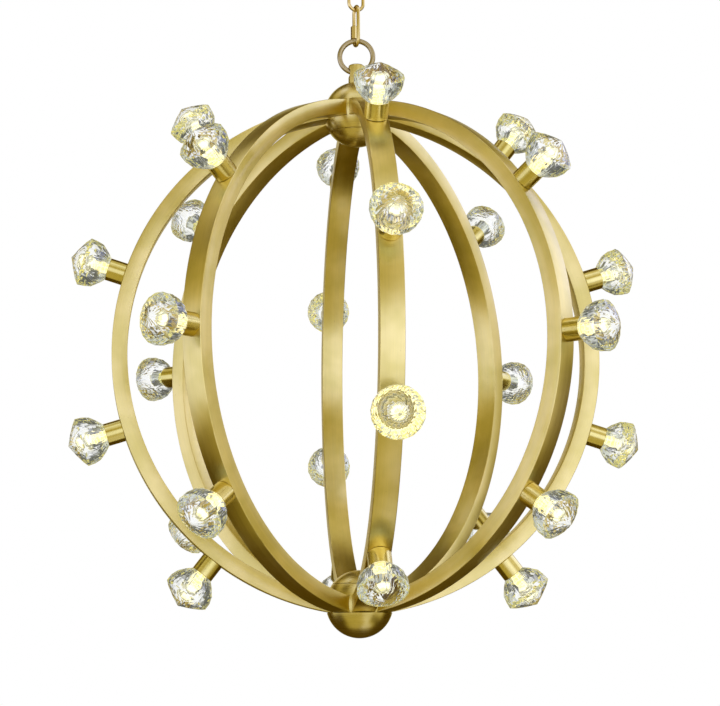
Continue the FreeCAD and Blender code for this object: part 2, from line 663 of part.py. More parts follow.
def make_crossbar():
    """Steel bar with a slot near each end and a tapped hole in the middle."""
    bar = block(-BAR_LENGTH / 2, BAR_LENGTH / 2, BAR_WIDTH / 2, -BAR_THICKNESS, 0)
    low, high = -BAR_THICKNESS - OVERRUN, OVERRUN
    half_run = BAR_SLOT_LENGTH / 2 - BAR_SLOT_RADIUS
    slots = []
    for side in (-1, 1):
        middle = side * BAR_SLOT_SPACING / 2
        ends = [cylinder(BAR_SLOT_RADIUS, low, high) for i in range(2)]
        ends[0].translate(V(middle - half_run, 0, 0))
        ends[1].translate(V(middle + half_run, 0, 0))
        run = block(middle - half_run, middle + half_run, BAR_SLOT_RADIUS, low, high)
        slots.append(fused(ends + [run]))
    ground_hole = cylinder(GROUND_SCREW_RADIUS + THREAD_FIT, low, high)
    ground_hole.translate(V(GROUND_SCREW_PLACE, 0, 0))
    centre_hole = cylinder(STEM_RADIUS + THREAD_FIT, low, high)
    return bar.cut(slots + [ground_hole, centre_hole])


def make_locknut():
    top = -BAR_THICKNESS - SEAT_FIT
    nut = hexagon(LOCKNUT_FLATS, top - LOCKNUT_HEIGHT, top)
    return nut.cut(cylinder(STEM_RADIUS + THREAD_FIT, top - LOCKNUT_HEIGHT - OVERRUN, 0))


def make_ground_screw():
    """Earth screw, put up through the bar from below."""
    seat = -BAR_THICKNESS - SEAT_FIT
    screw = fused([cylinder(GROUND_SCREW_RADIUS, seat, GROUND_TAIL - BAR_THICKNESS),
                   cylinder(GROUND_HEAD_RADIUS, seat - GROUND_HEAD_HEIGHT, seat)])
    screw.translate(V(GROUND_SCREW_PLACE, 0, 0))
    return screw


def save_ceiling_fitting():
    save("crossbar", [make_crossbar()])
    save("crossbar_locknut", [make_locknut()])
    save("ground_screw", [make_ground_screw()])
    save("canopy", [make_canopy()])
    save("canopy_collar", [make_collar()])
    save("canopy_loop", [hang(make_loop(), 0, True)])


def save_chain():
    link = oval_link(CHAIN_HALF_LENGTH, CHAIN_HALF_WIDTH, CHAIN_WIRE_RADIUS)
    for i in range(CHAIN_LINKS):
        across = (CHAIN_LINKS - i) % 2 == 1
        height = FIRST_LINK_CENTRE - i * CHAIN_PITCH
        save("chain_link_" + str(i + 1), [hang(link, height, not across)])
    save("quick_link", [hang(make_quick_link(), QUICK_CENTRE, True)])
    save("quick_link_nut", [hang(make_quick_nut(), QUICK_CENTRE, True)])
    ring = wire_ring(RING_RADIUS, RING_WIRE_RADIUS)
    save("hanging_ring", [raised(turned(ring, UP, HANGER_TURN_DEG), RING_CENTRE)])
    save("eye_post", [place_hub(turned(make_eye_post(), UP, HANGER_TURN_DEG), True)])


def save_hubs():
    upper_stem = make_stem(stem_top_in_post()).cut(turned(make_inlet(), UP, HANGER_TURN_DEG))
    lower_stem = make_stem(HUB_INSIDE - HUB_WALL - SEAT_FIT)
    save_hub("upper", True, make_open_shell(), upper_stem)
    save_hub("lower", False, make_closed_shell(DOME_RIM), lower_stem)


def save_arms_and_lamps():
    """Write each arm with its cups and crystals, and the pieces inside all lamps."""
    cup, crystal = make_cup(), make_crystal()
    inner = {"arm_bushes": make_bush(), "lampholders": make_holder(),
             "bulbs": make_bulb(), "crystal_rings": make_crystal_ring()}
    groups = {name: [] for name in inner}
    for index in range(ARM_COUNT):
        steps = arm_steps(index)
        number = "_" + str(index + 1)

        def placed(shape):
            return [arm_place(lamp_place(shape, step), index) for step in steps]

        save("arm" + number, [arm_place(make_arm(steps), index)])
        save("lamp_cups" + number, placed(cup))
        save("crystals" + number, placed(crystal))
        for name, shape in inner.items():
            groups[name] += placed(shape)
    for name, shapes in groups.items():
        save(name, shapes)


os.makedirs("parts", exist_ok=True)
save_ceiling_fitting()
save_chain()
save_hubs()
save_arms_and_lamps()
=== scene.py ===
import bmesh
import bpy
import math
from mathutils import Matrix, Quaternion, Vector


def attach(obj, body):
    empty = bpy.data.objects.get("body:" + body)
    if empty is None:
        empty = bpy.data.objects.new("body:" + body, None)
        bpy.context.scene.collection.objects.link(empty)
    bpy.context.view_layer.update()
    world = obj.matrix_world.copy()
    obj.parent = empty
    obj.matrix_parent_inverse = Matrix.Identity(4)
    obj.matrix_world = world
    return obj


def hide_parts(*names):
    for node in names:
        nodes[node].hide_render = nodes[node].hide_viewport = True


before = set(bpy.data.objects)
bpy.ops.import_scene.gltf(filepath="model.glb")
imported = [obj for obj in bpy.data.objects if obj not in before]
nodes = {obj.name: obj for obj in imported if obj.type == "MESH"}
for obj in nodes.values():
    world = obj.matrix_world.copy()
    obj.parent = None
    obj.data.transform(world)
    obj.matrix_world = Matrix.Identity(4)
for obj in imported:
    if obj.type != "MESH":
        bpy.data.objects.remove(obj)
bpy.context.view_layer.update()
scene = bpy.context.scene
scene.view_settings.view_transform = "Standard"

# Camera: at the photograph's angle, a little to the left of the front arm and well below
# the middle of the globe, looking up at it through a long lens.
MM = 0.001
PHOTO_WIDTH = 720
GLOBE_CENTRE = Vector((0, 0, -563.9714 * MM))
CAMERA_SIDE = Vector((-0.1241, -0.9814, -0.1465)).normalized()
CAMERA_DISTANCE = 2.184
CAMERA_ROLL = math.radians(-0.34)

lens = bpy.data.cameras.new("camera")
lens.lens = 94.0
lens.sensor_width = 36
lens.shift_x = 1.9 / PHOTO_WIDTH
lens.shift_y = 1.8 / PHOTO_WIDTH


def place_object(name, data):
    """A new object in the scene that holds a mesh, a camera or a light."""
    placed = bpy.data.objects.new(name, data)
    scene.collection.objects.link(placed)
    return placed


camera = place_object("camera", lens)
camera.location = GLOBE_CENTRE + CAMERA_DISTANCE * CAMERA_SIDE
camera.rotation_euler = ((-CAMERA_SIDE).to_track_quat("-Z", "Y")
                         @ Quaternion((0, 0, 1), CAMERA_ROLL)).to_euler()
scene.camera = camera

# Studio: a white surround for the picture, and round it soft panels that the brass and the
# crystals mirror. A panel is a window of directions, in degrees to the right of the camera
# and above the horizon, with a soft edge. Dim panels are warm and bright ones cool.
WHITE = (1, 1, 1, 1)
AMBIENT = 0.085
AMBIENT_COLOUR = (1.0, 0.60, 0.04, 1)
PANEL_DIM = (1.0, 0.88, 0.28, 1)
PANEL_BRIGHT = (1.0, 1.10, 2.05, 1)
DIM_TO_BRIGHT = (0.3, 1.15)
CAMERA_TURN = math.atan2(CAMERA_SIDE.y, CAMERA_SIDE.x)
PANELS = [
    # from, to, low, high, edge, level
    (-112, 50, -20, 15, 14, 1.02),
    (-72, 52, -58, -20, 16, 0.45),
    (-60, 50, 15, 34, 14, 0.40),
    (-110, -60, 15, 34, 14, 0.38),
    (-50, 60, 34, 66, 16, 0.82),
    (-135, -86, 38, 70, 18, 0.60),
    (14, 50, -58, 28, 16, 0.28),
    (50, 98, -34, 26, 20, 0.70),
    (34, 100, -100, -52, 22, 0.32),
    (50, 90, 26, 60, 20, 0.70),
    (90, 146, 8, 46, 22, 1.20),
    (148, 260, -4, 32, 18, 0.55),
    (-260, -148, -4, 32, 18, 0.55),
    (-130, 145, 60, 120, 24, 0.64),
    (-108, 112, -120, -58, 22, 0.50),
]
# Seen through the crystals: white behind the globe, and greys of the panels' own levels round it.
GLASS_BACKDROP = (148, 212, -26, 30, 18)
GLASS_GREY = (0.93, 0.97, 0.88, 1)
GLASS_SHARE = 0.58
GLASS_BASE = 0.12


def add(tree, kind, inputs=None, **settings):
    """A node with its settings; each input is a value or another node's output."""
    node = tree.nodes.new(kind)
    for name, value in settings.items():
        setattr(node, name, value)
    for key, value in (inputs or {}).items():
        if isinstance(value, bpy.types.NodeSocket):
            tree.links.new(value, node.inputs[key])
        else:
            node.inputs[key].default_value = value
    return node


def math_node(tree, operation, *values):
    return add(tree, "ShaderNodeMath", dict(enumerate(values)), operation=operation).outputs[0]


def smooth(tree, value, start, end):
    """0 at start and 1 at end, with a soft run between them."""
    window = add(tree, "ShaderNodeMapRange", {"Value": value, 1: start, 2: end},
                 interpolation_type="SMOOTHSTEP")
    return window.outputs["Result"]


def blend(tree, share, first, second, kind="MIX"):
    """A colour between two others; a share of 0 is the first."""
    return add(tree, "ShaderNodeMix", {"Factor": share, "A": first, "B": second},
               data_type="RGBA", blend_type=kind).outputs["Result"]


def empty_tree(owner):
    """The emptied node tree of a material or a world."""
    owner.use_nodes = True
    owner.node_tree.nodes.clear()
    return owner.node_tree


scene.world = bpy.data.worlds.new("studio")
sky = empty_tree(scene.world)
towards = add(sky, "ShaderNodeTexCoord").outputs["Generated"]
turned_to_camera = add(sky, "ShaderNodeVectorRotate", {"Vector": towards, "Angle": -CAMERA_TURN},
                       rotation_type="Z_AXIS").outputs[0]
axes = add(sky, "ShaderNodeSeparateXYZ", {0: turned_to_camera}).outputs
azimuth = math_node(sky, "DEGREES", math_node(sky, "ARCTAN2", axes[1], axes[0]))
height = math_node(sky, "DEGREES", math_node(sky, "ARCSINE", axes[2]))


def panel(left, right, low, high, edge):
    """1 inside a window of directions and 0 outside it."""
    window = smooth(sky, azimuth, left - edge / 2, left + edge / 2)
    for value, start, end in ((azimuth, right + edge / 2, right - edge / 2),
                              (height, low - edge / 2, low + edge / 2),
                              (height, high + edge / 2, high - edge / 2)):
        window = math_node(sky, "MULTIPLY", window, smooth(sky, value, start, end))
    return window


level = 0.0
for *window, strength in PANELS:
    level = math_node(sky, "MULTIPLY_ADD", panel(*window), strength, level)
room = add(sky, "ShaderNodeBackground", {"Color": AMBIENT_COLOUR, "Strength": AMBIENT})
panel_colour = blend(sky, smooth(sky, level, *DIM_TO_BRIGHT), PANEL_DIM, PANEL_BRIGHT)
panels = add(sky, "ShaderNodeBackground", {"Color": panel_colour, "Strength": level})
studio_light = add(sky, "ShaderNodeAddShader", {0: room.outputs[0], 1: panels.outputs[0]})
backdrop = add(sky, "ShaderNodeBackground", {"Color": WHITE, "Strength": 1.0})
glass_grey = add(sky, "ShaderNodeBackground", {
    "Color": GLASS_GREY,
    "Strength": math_node(sky, "MULTIPLY_ADD", level, GLASS_SHARE, GLASS_BASE)})
rays = add(sky, "ShaderNodeLightPath").outputs
behind = math_node(sky, "MAXIMUM", panel(*GLASS_BACKDROP),
                   panel(*[d - 360 if i < 2 else d for i, d in enumerate(GLASS_BACKDROP)]))
glass_view = add(sky, "ShaderNodeMixShader", {0: behind, 1: glass_grey.outputs[0],
                                              2: backdrop.outputs[0]})
indirect = add(sky, "ShaderNodeMixShader", {0: rays["Is Transmission Ray"],
                                            1: studio_light.outputs[0],
                                            2: glass_view.outputs[0]})
sky_mix = add(sky, "ShaderNodeMixShader", {0: rays["Is Camera Ray"], 1: indirect.outputs[0],
                                           2: backdrop.outputs[0]})
add(sky, "ShaderNodeOutputWorld", {"Surface": sky_mix.outputs[0]})

# Floor: a wide pale disc, a room's height under the ceiling, that fades into the white
# surround and takes the lamp's shadow from one large soft light.
FLOOR_DROP = -2.4
FLOOR_RADIUS = 24.0
FLOOR_FADE = (2.0, 9.0)
FLOOR_COLOUR = (0.78, 0.82, 0.73, 1)
SOFTBOX_WIDTH = 1.6
SOFTBOX_HEIGHT = 1.2
SOFTBOX_POWER = 18
SOFTBOX_PLACE = (-1.2, -2.0, 1.4)
SOFTBOX_AIM = (1.2, 2.0, -2.2)


def from_bmesh(name, shape):
    """A shape as a mesh object in the scene."""
    mesh = bpy.data.meshes.new(name)
    shape.to_mesh(mesh)
    shape.free()
    return place_object(name, mesh)


def shift(piece, x=0.0, y=0.0, z=0.0):
    """Move a piece's mesh, and not its object."""
    piece.data.transform(Matrix.Translation((x, y, z)))


disc = bmesh.new()
bmesh.ops.create_circle(disc, cap_ends=True, segments=96, radius=FLOOR_RADIUS)
floor = from_bmesh("floor", disc)
shift(floor, z=FLOOR_DROP)

floor_paint = bpy.data.materials.new("pale floor")
paint = empty_tree(floor_paint)
matt = add(paint, "ShaderNodeBsdfDiffuse", {"Color": FLOOR_COLOUR})
bright = add(paint, "ShaderNodeEmission", {"Color": WHITE, "Strength": 1.0})
place = add(paint, "ShaderNodeTexCoord").outputs["Object"]
flat_place = add(paint, "ShaderNodeVectorMath", {0: place, 1: (1, 1, 0)}, operation="MULTIPLY")
reach = add(paint, "ShaderNodeVectorMath", {0: flat_place.outputs[0]}, operation="LENGTH")
fade = smooth(paint, reach.outputs["Value"], *FLOOR_FADE)
floor_mix = add(paint, "ShaderNodeMixShader", {0: fade, 1: matt.outputs[0], 2: bright.outputs[0]})
add(paint, "ShaderNodeOutputMaterial", {"Surface": floor_mix.outputs[0]})
floor.data.materials.append(floor_paint)
floor.visible_glossy = False
floor.visible_transmission = False
floor.visible_diffuse = False

softbox = bpy.data.lights.new("softbox", "AREA")
softbox.shape = "RECTANGLE"
softbox.size = SOFTBOX_WIDTH
softbox.size_y = SOFTBOX_HEIGHT
softbox.energy = SOFTBOX_POWER
softbox_stand = place_object("softbox", softbox)
softbox_stand.location = SOFTBOX_PLACE
softbox_stand.rotation_euler = Vector(SOFTBOX_AIM).to_track_quat("-Z", "Y").to_euler()
softbox_stand.visible_glossy = False
softbox_stand.visible_transmission = False

# Arms: eight lengths of rectangular brass tube, rolled to an arc, brushed along their
# length and lacquered. Each one ends in a slot of the upper and of the lower ball.
ARM_COUNT = 8
ARM_WIDTH = 26 * MM
ARM_DEPTH = 18 * MM
ARM_CORNER = 0.8 * MM
GLOBE_RADIUS = 284 * MM
ARC_SETBACK = 17 * MM
ARC_MIDDLE = GLOBE_RADIUS + ARC_SETBACK - ARM_DEPTH / 2
ARM_END = 33.685 * MM
ARM_CORNER_STEPS = 3
ARM_STEPS = 112
GRAIN_STRETCH = 60
GRAIN_SCALE = 2600
TARNISH = (0.20, 0.13, 0.04, 1)


def noise(tree, place, scale, detail, roughness=0.5):
    return add(tree, "ShaderNodeTexNoise", {"Vector": place, "Scale": scale, "Detail": detail,
                                            "Roughness": roughness}).outputs["Fac"]


def remap(tree, value, low, high, start=0.0, end=1.0):
    """A value's run from start to end, made a run from low to high."""
    return add(tree, "ShaderNodeMapRange", {"Value": value, 1: start, 2: end, 3: low,
                                            4: high}).outputs["Result"]


def brass(name, colour, roughness, streaks=0.5, sheen_along=None, stretch=0.5):
    """Lacquered brass with a brushed grain that follows the piece's own grain attribute. Its
    highlights stretch across the brushing, along the attribute that sheen_along names."""
    material = bpy.data.materials.new(name)
    tree = empty_tree(material)
    grain = add(tree, "ShaderNodeAttribute", attribute_name="grain").outputs["Vector"]
    own_place = add(tree, "ShaderNodeTexCoord").outputs["Object"]
    fine = noise(tree, grain, GRAIN_SCALE, 3.0, 0.6)
    broad = noise(tree, grain, GRAIN_SCALE / 7, 2.0)
    cloud = noise(tree, own_place, 14.0, 3.0, 0.6)
    specks = noise(tree, own_place, 420.0, 1.0)
    lines = math_node(tree, "ADD", math_node(tree, "MULTIPLY", fine, 0.6),
                      math_node(tree, "MULTIPLY", broad, 0.4))
    deep = tuple(c * (0.86 if i < 2 else 0.70) for i, c in enumerate(colour)) + (1,)
    pale = tuple(min(c * (1.08 if i < 2 else 1.22), 0.95) for i, c in enumerate(colour)) + (1,)
    tone = blend(tree, smooth(tree, cloud, 0.3, 0.7), deep, pale)
    shade = remap(tree, smooth(tree, lines, 0.3, 0.75), 1.0 - 0.16 * streaks,
                  1.0 + 0.05 * streaks)
    lined = blend(tree, 1.0, tone, shade, "MULTIPLY")
    pits = math_node(tree, "MULTIPLY", smooth(tree, specks, 0.79, 0.84), 0.45)
    spotted = blend(tree, pits, lined, TARNISH)
    gloss = remap(tree, lines, roughness - 0.05 * streaks, roughness + 0.09 * streaks, 0.25, 0.75)
    relief = add(tree, "ShaderNodeBump", {"Height": lines, "Strength": 0.35 * streaks,
                                          "Distance": 0.00008}).outputs["Normal"]
    metal = add(tree, "ShaderNodeBsdfPrincipled", {"Base Color": spotted, "Metallic": 1.0,
                                                   "Roughness": gloss, "Normal": relief,
                                                   "Coat Weight": 0.45,
                                                   "Coat Roughness": 0.14})
    if sheen_along:
        direction = add(tree, "ShaderNodeAttribute", attribute_name=sheen_along).outputs["Vector"]
        metal.inputs["Anisotropic"].default_value = stretch
        tree.links.new(direction, metal.inputs["Tangent"])
    add(tree, "ShaderNodeOutputMaterial", {"Surface": metal.outputs[0]})
    return material


def new_geometry(name, inputs):
    """A geometry tree and its named inputs; close_geometry ends it."""
    tree = bpy.data.node_groups.new(name, "GeometryNodeTree")
    tree.interface.new_socket("Geometry", in_out="OUTPUT", socket_type="NodeSocketGeometry")
    for label, kind in list(inputs.items()) + [("Material", "Material")]:
        tree.interface.new_socket(label, in_out="INPUT", socket_type="NodeSocket" + kind)
    return tree, tree.nodes.new("NodeGroupInput").outputs


def vector(tree, x=0.0, y=0.0, z=0.0):
    return add(tree, "ShaderNodeCombineXYZ", {0: x, 1: y, 2: z}).outputs[0]


def store(tree, geometry, name, value, domain="POINT"):
    """The geometry with a vector attribute that its material reads."""
    return add(tree, "GeometryNodeStoreNamedAttribute",
               {"Geometry": geometry, "Name": name, "Value": value},
               data_type="FLOAT_VECTOR", domain=domain).outputs[0]


def close_geometry(tree, given, geometry, tilt=0.0):
    """Tilt, turn and lift what the tree made, make it real and give it its material."""
    placed = add(tree, "GeometryNodeTransform", {
        "Geometry": geometry, "Translation": vector(tree, z=given["Height"]),
        "Rotation": vector(tree, x=tilt, z=given["Turn"])})
    real = add(tree, "GeometryNodeRealizeInstances", {"Geometry": placed.outputs[0]})
    painted = add(tree, "GeometryNodeSetMaterial", {"Geometry": real.outputs[0],
                                                    "Material": given["Material"]})
    add(tree, "NodeGroupOutput", {0: painted.outputs[0]})


def finish_mesh(mesh, smooth_below=30):
    """Round faces shade smooth, and edges sharper than an angle stay crisp."""
    if smooth_below:
        mesh.shade_smooth()
        mesh.set_sharp_from_angle(angle=math.radians(smooth_below))
    else:
        mesh.shade_flat()


def grow(name, tree, values, smooth_below=30):
    """A piece made by a geometry tree with the given inputs, as a plain mesh."""
    piece = place_object(name, bpy.data.meshes.new(name))
    maker = piece.modifiers.new(tree.name, "NODES")
    maker.node_group = tree
    for item in tree.interface.items_tree:
        if item.in_out == "INPUT":
            maker[item.identifier] = values[item.name]
    made = piece.evaluated_get(bpy.context.evaluated_depsgraph_get())
    mesh = bpy.data.meshes.new_from_object(made)
    piece.modifiers.remove(maker)
    piece.data = mesh
    mesh.name = name
    finish_mesh(mesh, smooth_below)
    return piece


def hand_over(piece, body, replaced):
    """The piece moves with its body and stands for its CAD node, which it hides."""
    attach(piece, body)
    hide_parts(replaced)


arm_tree, given = new_geometry("bent tube", {
    "Width": "Float", "Depth": "Float", "Corner": "Float", "Arc radius": "Float",
    "Setback": "Float", "End": "Float", "Steps": "Int", "Turn": "Float", "Height": "Float"})
section = add(arm_tree, "GeometryNodeCurvePrimitiveQuadrilateral",
              {"Width": given["Depth"], "Height": given["Width"]})
section = add(arm_tree, "GeometryNodeFilletCurve",
              {"Curve": section.outputs[0], "Radius": given["Corner"],
               "Count": ARM_CORNER_STEPS}, mode="POLY")
section_place = add(arm_tree, "GeometryNodeInputPosition").outputs[0]
section = add(arm_tree, "GeometryNodeCaptureAttribute", {"Geometry": section.outputs[0]})
section.capture_items.new("VECTOR", "across")
arm_tree.links.new(section_place, section.inputs["across"])
path = add(arm_tree, "GeometryNodeCurvePrimitiveLine", {"Start": (0, 0, -1), "End": (0, 0, 1)})
path = add(arm_tree, "GeometryNodeResampleCurve", {"Curve": path.outputs[0],
                                                   "Count": given["Steps"]})
path_share = add(arm_tree, "GeometryNodeSplineParameter").outputs["Factor"]
path = add(arm_tree, "GeometryNodeCaptureAttribute", {"Geometry": path.outputs[0]})
path.capture_items.new("FLOAT", "along")
arm_tree.links.new(path_share, path.inputs["along"])
bar = add(arm_tree, "GeometryNodeCurveToMesh", {"Curve": path.outputs[0],
                                                "Profile Curve": section.outputs[0],
                                                "Fill Caps": True})
across = add(arm_tree, "ShaderNodeSeparateXYZ", {0: section.outputs["across"]}).outputs
arc = math_node(arm_tree, "ADD", given["Arc radius"], across[0])
end_turn = math_node(arm_tree, "ARCCOSINE", math_node(
    arm_tree, "DIVIDE", math_node(arm_tree, "ADD", given["End"], given["Setback"]), arc))
share = math_node(arm_tree, "MULTIPLY_ADD", path.outputs["along"], 2.0, -1.0)
arc_turn = math_node(arm_tree, "MULTIPLY", share, end_turn)
arc_x = math_node(arm_tree, "SUBTRACT", math_node(arm_tree, "MULTIPLY", arc, math_node(
    arm_tree, "COSINE", arc_turn)), given["Setback"])
arc_z = math_node(arm_tree, "MULTIPLY", arc, math_node(arm_tree, "SINE", arc_turn))
bent = add(arm_tree, "GeometryNodeSetPosition", {
    "Geometry": bar.outputs[0], "Position": vector(arm_tree, arc_x, across[1], arc_z)})
run = math_node(arm_tree, "DIVIDE", math_node(arm_tree, "MULTIPLY", arc, arc_turn), GRAIN_STRETCH)
grain = vector(arm_tree, math_node(arm_tree, "ADD", across[0], across[1]), run, given["Turn"])
grained = store(arm_tree, bent.outputs[0], "grain", grain)
flank = vector(arm_tree, math_node(arm_tree, "COSINE", arc_turn), 1.0,
               math_node(arm_tree, "SINE", arc_turn))
flank = add(arm_tree, "ShaderNodeVectorRotate", {"Vector": flank, "Angle": given["Turn"]},
            rotation_type="Z_AXIS")
close_geometry(arm_tree, given, store(arm_tree, grained, "across", flank.outputs[0]))

arm_brass = brass("brushed arm brass", (0.82, 0.668, 0.17), 0.31, sheen_along="across",
                  stretch=0.8)


def arm_turn(number):
    """Angle of an arm about the vertical; the first arm points to the front."""
    return (number - 1) * 2 * math.pi / ARM_COUNT - math.pi / 2


for number in range(1, ARM_COUNT + 1):
    arm = grow(f"satin_arm_{number}", arm_tree, {
        "Width": ARM_WIDTH, "Depth": ARM_DEPTH, "Corner": ARM_CORNER, "Arc radius": ARC_MIDDLE,
        "Setback": ARC_SETBACK, "End": ARM_END, "Steps": ARM_STEPS, "Turn": arm_turn(number),
        "Height": GLOBE_CENTRE.z, "Material": arm_brass})
    hand_over(arm, "globe", f"arm_{number}")

# Balls: each is a spun dome, a turned body with a slot for every arm and, after a fine seam,
# a spun cap that faces into the globe. Brass, brushed round the axis and lacquered.
HUB_RADIUS = 38.5706
HUB_INSIDE = 36.5706
SEAT_RADIUS = 33.5848
CORE_BORE = 22.5848
DOME_RIM = 9.6836
SLOT_FLOOR = -9.7451
WEB_BOTTOM = -13.7451
SEAM = -23.0
CAP_RIM = -23.3
SEAM_BORE = 27.96
STEM_HOLE = 5.1
SLOT_HALF = 13.1
UPPER_BALL = -276.836
LOWER_BALL = -851.1069
RIM_ROUND = 0.35
INSIDE_STEPS = 28
OUTSIDE_STEPS = 40
BODY_STEPS = 36
ON_AXIS = 1e-6


def arc_points(radius, start, end, count):
    """Points of a ball's outline between two heights, as radius and height."""
    first, last = math.asin(start / radius), math.asin(end / radius)
    turns = [first + (last - first) * i / count for i in range(count + 1)]
    return [(radius * math.cos(t) if abs(abs(t) - math.pi / 2) > ON_AXIS else 0.0,
             radius * math.sin(t)) for t in turns]


def lathe(name, outline, steps=128):
    """A turned shape from its outline in mm; an outline off the axis closes on itself."""
    shape = bmesh.new()
    turns = [2 * math.pi * i / steps for i in range(steps)]
    rings = []
    for radius, z in outline:
        if radius < ON_AXIS:
            rings.append([shape.verts.new((0, 0, z * MM))])
        else:
            rings.append([shape.verts.new(
                (radius * math.cos(a) * MM, radius * math.sin(a) * MM, z * MM)) for a in turns])
    closed = outline[0][0] > ON_AXIS
    for low, high in zip(rings, rings[1:] + rings[:1] if closed else rings[1:]):
        for i in range(steps):
            j = (i + 1) % steps
            corners = [low[i % len(low)], low[j % len(low)],
                       high[j % len(high)], high[i % len(high)]]
            corners = [c for k, c in enumerate(corners) if c not in corners[:k]]
            if len(corners) > 2:
                shape.faces.new(corners)
    return from_bmesh(name, shape)


def cut_away(piece, cutters, operation="DIFFERENCE"):
    """Take the cutters out of a piece, or join them to it, and delete them."""
    for cutter in cutters:
        tool = piece.modifiers.new("cut", "BOOLEAN")
        tool.operation = operation
        tool.solver = "EXACT"
        tool.object = cutter
        done = bpy.data.meshes.new_from_object(
            piece.evaluated_get(bpy.context.evaluated_depsgraph_get()))
        piece.modifiers.remove(tool)
        piece.data = done
        bpy.data.objects.remove(cutter)
    piece.data.name = piece.name


def set_grain(mesh, rule):
    """Store the grain attribute that the brushed finish follows."""
    layer = mesh.attributes.new("grain", "FLOAT_VECTOR", "POINT")
    for vertex, item in zip(mesh.vertices, layer.data):
        item.vector = rule(vertex.co)


def set_axis(mesh):
    """Store the upright turning axis, along which the highlights of a turned piece stretch."""
    layer = mesh.attributes.new("turning axis", "FLOAT_VECTOR", "POINT")
    for item in layer.data:
        item.vector = (0, 0, 1)


def round_grain(co):
    """Brushed round the Z axis: fine across, long the other way, with no seam."""
    reach = math.hypot(co.x, co.y)
    slow = 0.5 * MM / max(reach, 1e-6)
    return co.z, reach + co.x * slow, co.y * slow


def block(low, high):
    """A box between two corners in mm, for cutting."""
    shape = bmesh.new()
    bmesh.ops.create_cube(shape, size=1)
    size = Vector(high) - Vector(low)
    middle = (Vector(high) + Vector(low)) / 2
    bmesh.ops.transform(shape, verts=shape.verts,
                        matrix=Matrix.Diagonal((size * MM).to_4d()))
    bmesh.ops.translate(shape, verts=shape.verts, vec=middle * MM)
    return from_bmesh("cutter", shape)


dome_brass = brass("turned ball brass", (0.80, 0.65, 0.17), 0.27, streaks=0.7,
                   sheen_along="turning axis")
for ball, height in (("upper", UPPER_BALL), ("lower", LOWER_BALL)):
    crown = STEM_HOLE if ball == "upper" else 0.0
    top_out = math.sqrt(HUB_RADIUS ** 2 - crown ** 2)
    top_in = math.sqrt(HUB_INSIDE ** 2 - crown ** 2)
    inside = arc_points(HUB_INSIDE, top_in, DOME_RIM, INSIDE_STEPS)
    outside = arc_points(HUB_RADIUS, DOME_RIM + RIM_ROUND, top_out, OUTSIDE_STEPS)
    rim_reach = math.sqrt(HUB_RADIUS ** 2 - DOME_RIM ** 2)
    dome = lathe(f"{ball}_ball_dome", inside + [(rim_reach - RIM_ROUND, DOME_RIM)] + outside)

    cap_in = arc_points(HUB_INSIDE, -HUB_INSIDE, CAP_RIM, INSIDE_STEPS)[::-1]
    cap_out = arc_points(HUB_RADIUS, -HUB_RADIUS, CAP_RIM - RIM_ROUND, OUTSIDE_STEPS)
    cap_reach = math.sqrt(HUB_RADIUS ** 2 - CAP_RIM ** 2)
    cap = lathe(f"{ball}_ball_cap", cap_out + [(cap_reach - RIM_ROUND, CAP_RIM)] + cap_in)

    seam_reach = math.sqrt(HUB_RADIUS ** 2 - SEAM ** 2)
    body = lathe(f"{ball}_ball_body", [
        (STEM_HOLE, WEB_BOTTOM), (SEAM_BORE, WEB_BOTTOM), (SEAM_BORE, SEAM),
        (seam_reach - RIM_ROUND, SEAM)]
        + arc_points(HUB_RADIUS, SEAM + RIM_ROUND, DOME_RIM, BODY_STEPS)
        + [(CORE_BORE, DOME_RIM), (CORE_BORE, SLOT_FLOOR), (STEM_HOLE, SLOT_FLOOR)])
    slots = []
    for number in range(ARM_COUNT):
        slot_cutter = block((SEAT_RADIUS, -SLOT_HALF, SLOT_FLOOR),
                            (HUB_RADIUS + 2, SLOT_HALF, DOME_RIM + 2))
        slot_cutter.data.transform(Matrix.Rotation(number * 2 * math.pi / ARM_COUNT, 4, "Z"))
        slots.append(slot_cutter)
    cut_away(body, slots)
    for piece, node in ((dome, "hub_dome"), (cap, "hub_cap"), (body, "hub_body")):
        set_grain(piece.data, round_grain)
        set_axis(piece.data)
        if ball == "lower":
            piece.data.transform(Matrix.Rotation(math.pi, 4, "X"))
        shift(piece, z=height * MM)
        piece.data.materials.append(dome_brass)
        finish_mesh(piece.data)
        hand_over(piece, "globe", f"{ball}_{node}")

# Lamps: 28 of them, four on every other arm and three between. A turned cup screws onto
# the arm, a cut crystal on a threaded ring screws into the cup, round a capsule bulb.
LAMP_STEP = math.radians(17.4)
CUP_RADIUS = 13.0
CUP_INSIDE = 11.8
CUP_FOOT = 0.1
CUP_MOUTH = 19.6
CUP_EDGE = 0.35
SPIGOT_RADIUS = 5.0
SPIGOT_BORE = 3.2
SPIGOT_END = -4.5
CUP_FLOOR = 2.1
CRYSTAL_FOOT = 19.7
NECK_FOOT = 15.4
NECK_RADIUS = 10.0
BORE_RADIUS = 7.8
BORE_END = 47.0
CRYSTAL_SIDES = 16
CRYSTAL_ROWS = [
    # each ring of corners: radius and height of its ridges, how far in its valleys lie, and
    # 1 where its ridges are half a side on
    (12.9, 0.0, 0.0, 0), (18.6, 5.2, 0.5, 0), (25.0, 13.0, 0.7, 1), (27.3, 20.4, 0.5, 0),
    (27.8, 28.6, 0.5, 1), (22.3, 32.7, 0.9, 0), (12.2, 38.4, 0.8, 1)]
CRYSTAL_TIP = 44.0
DOME_STEPS = 6
NECK_GROUND_AND_GLOW = 0.5

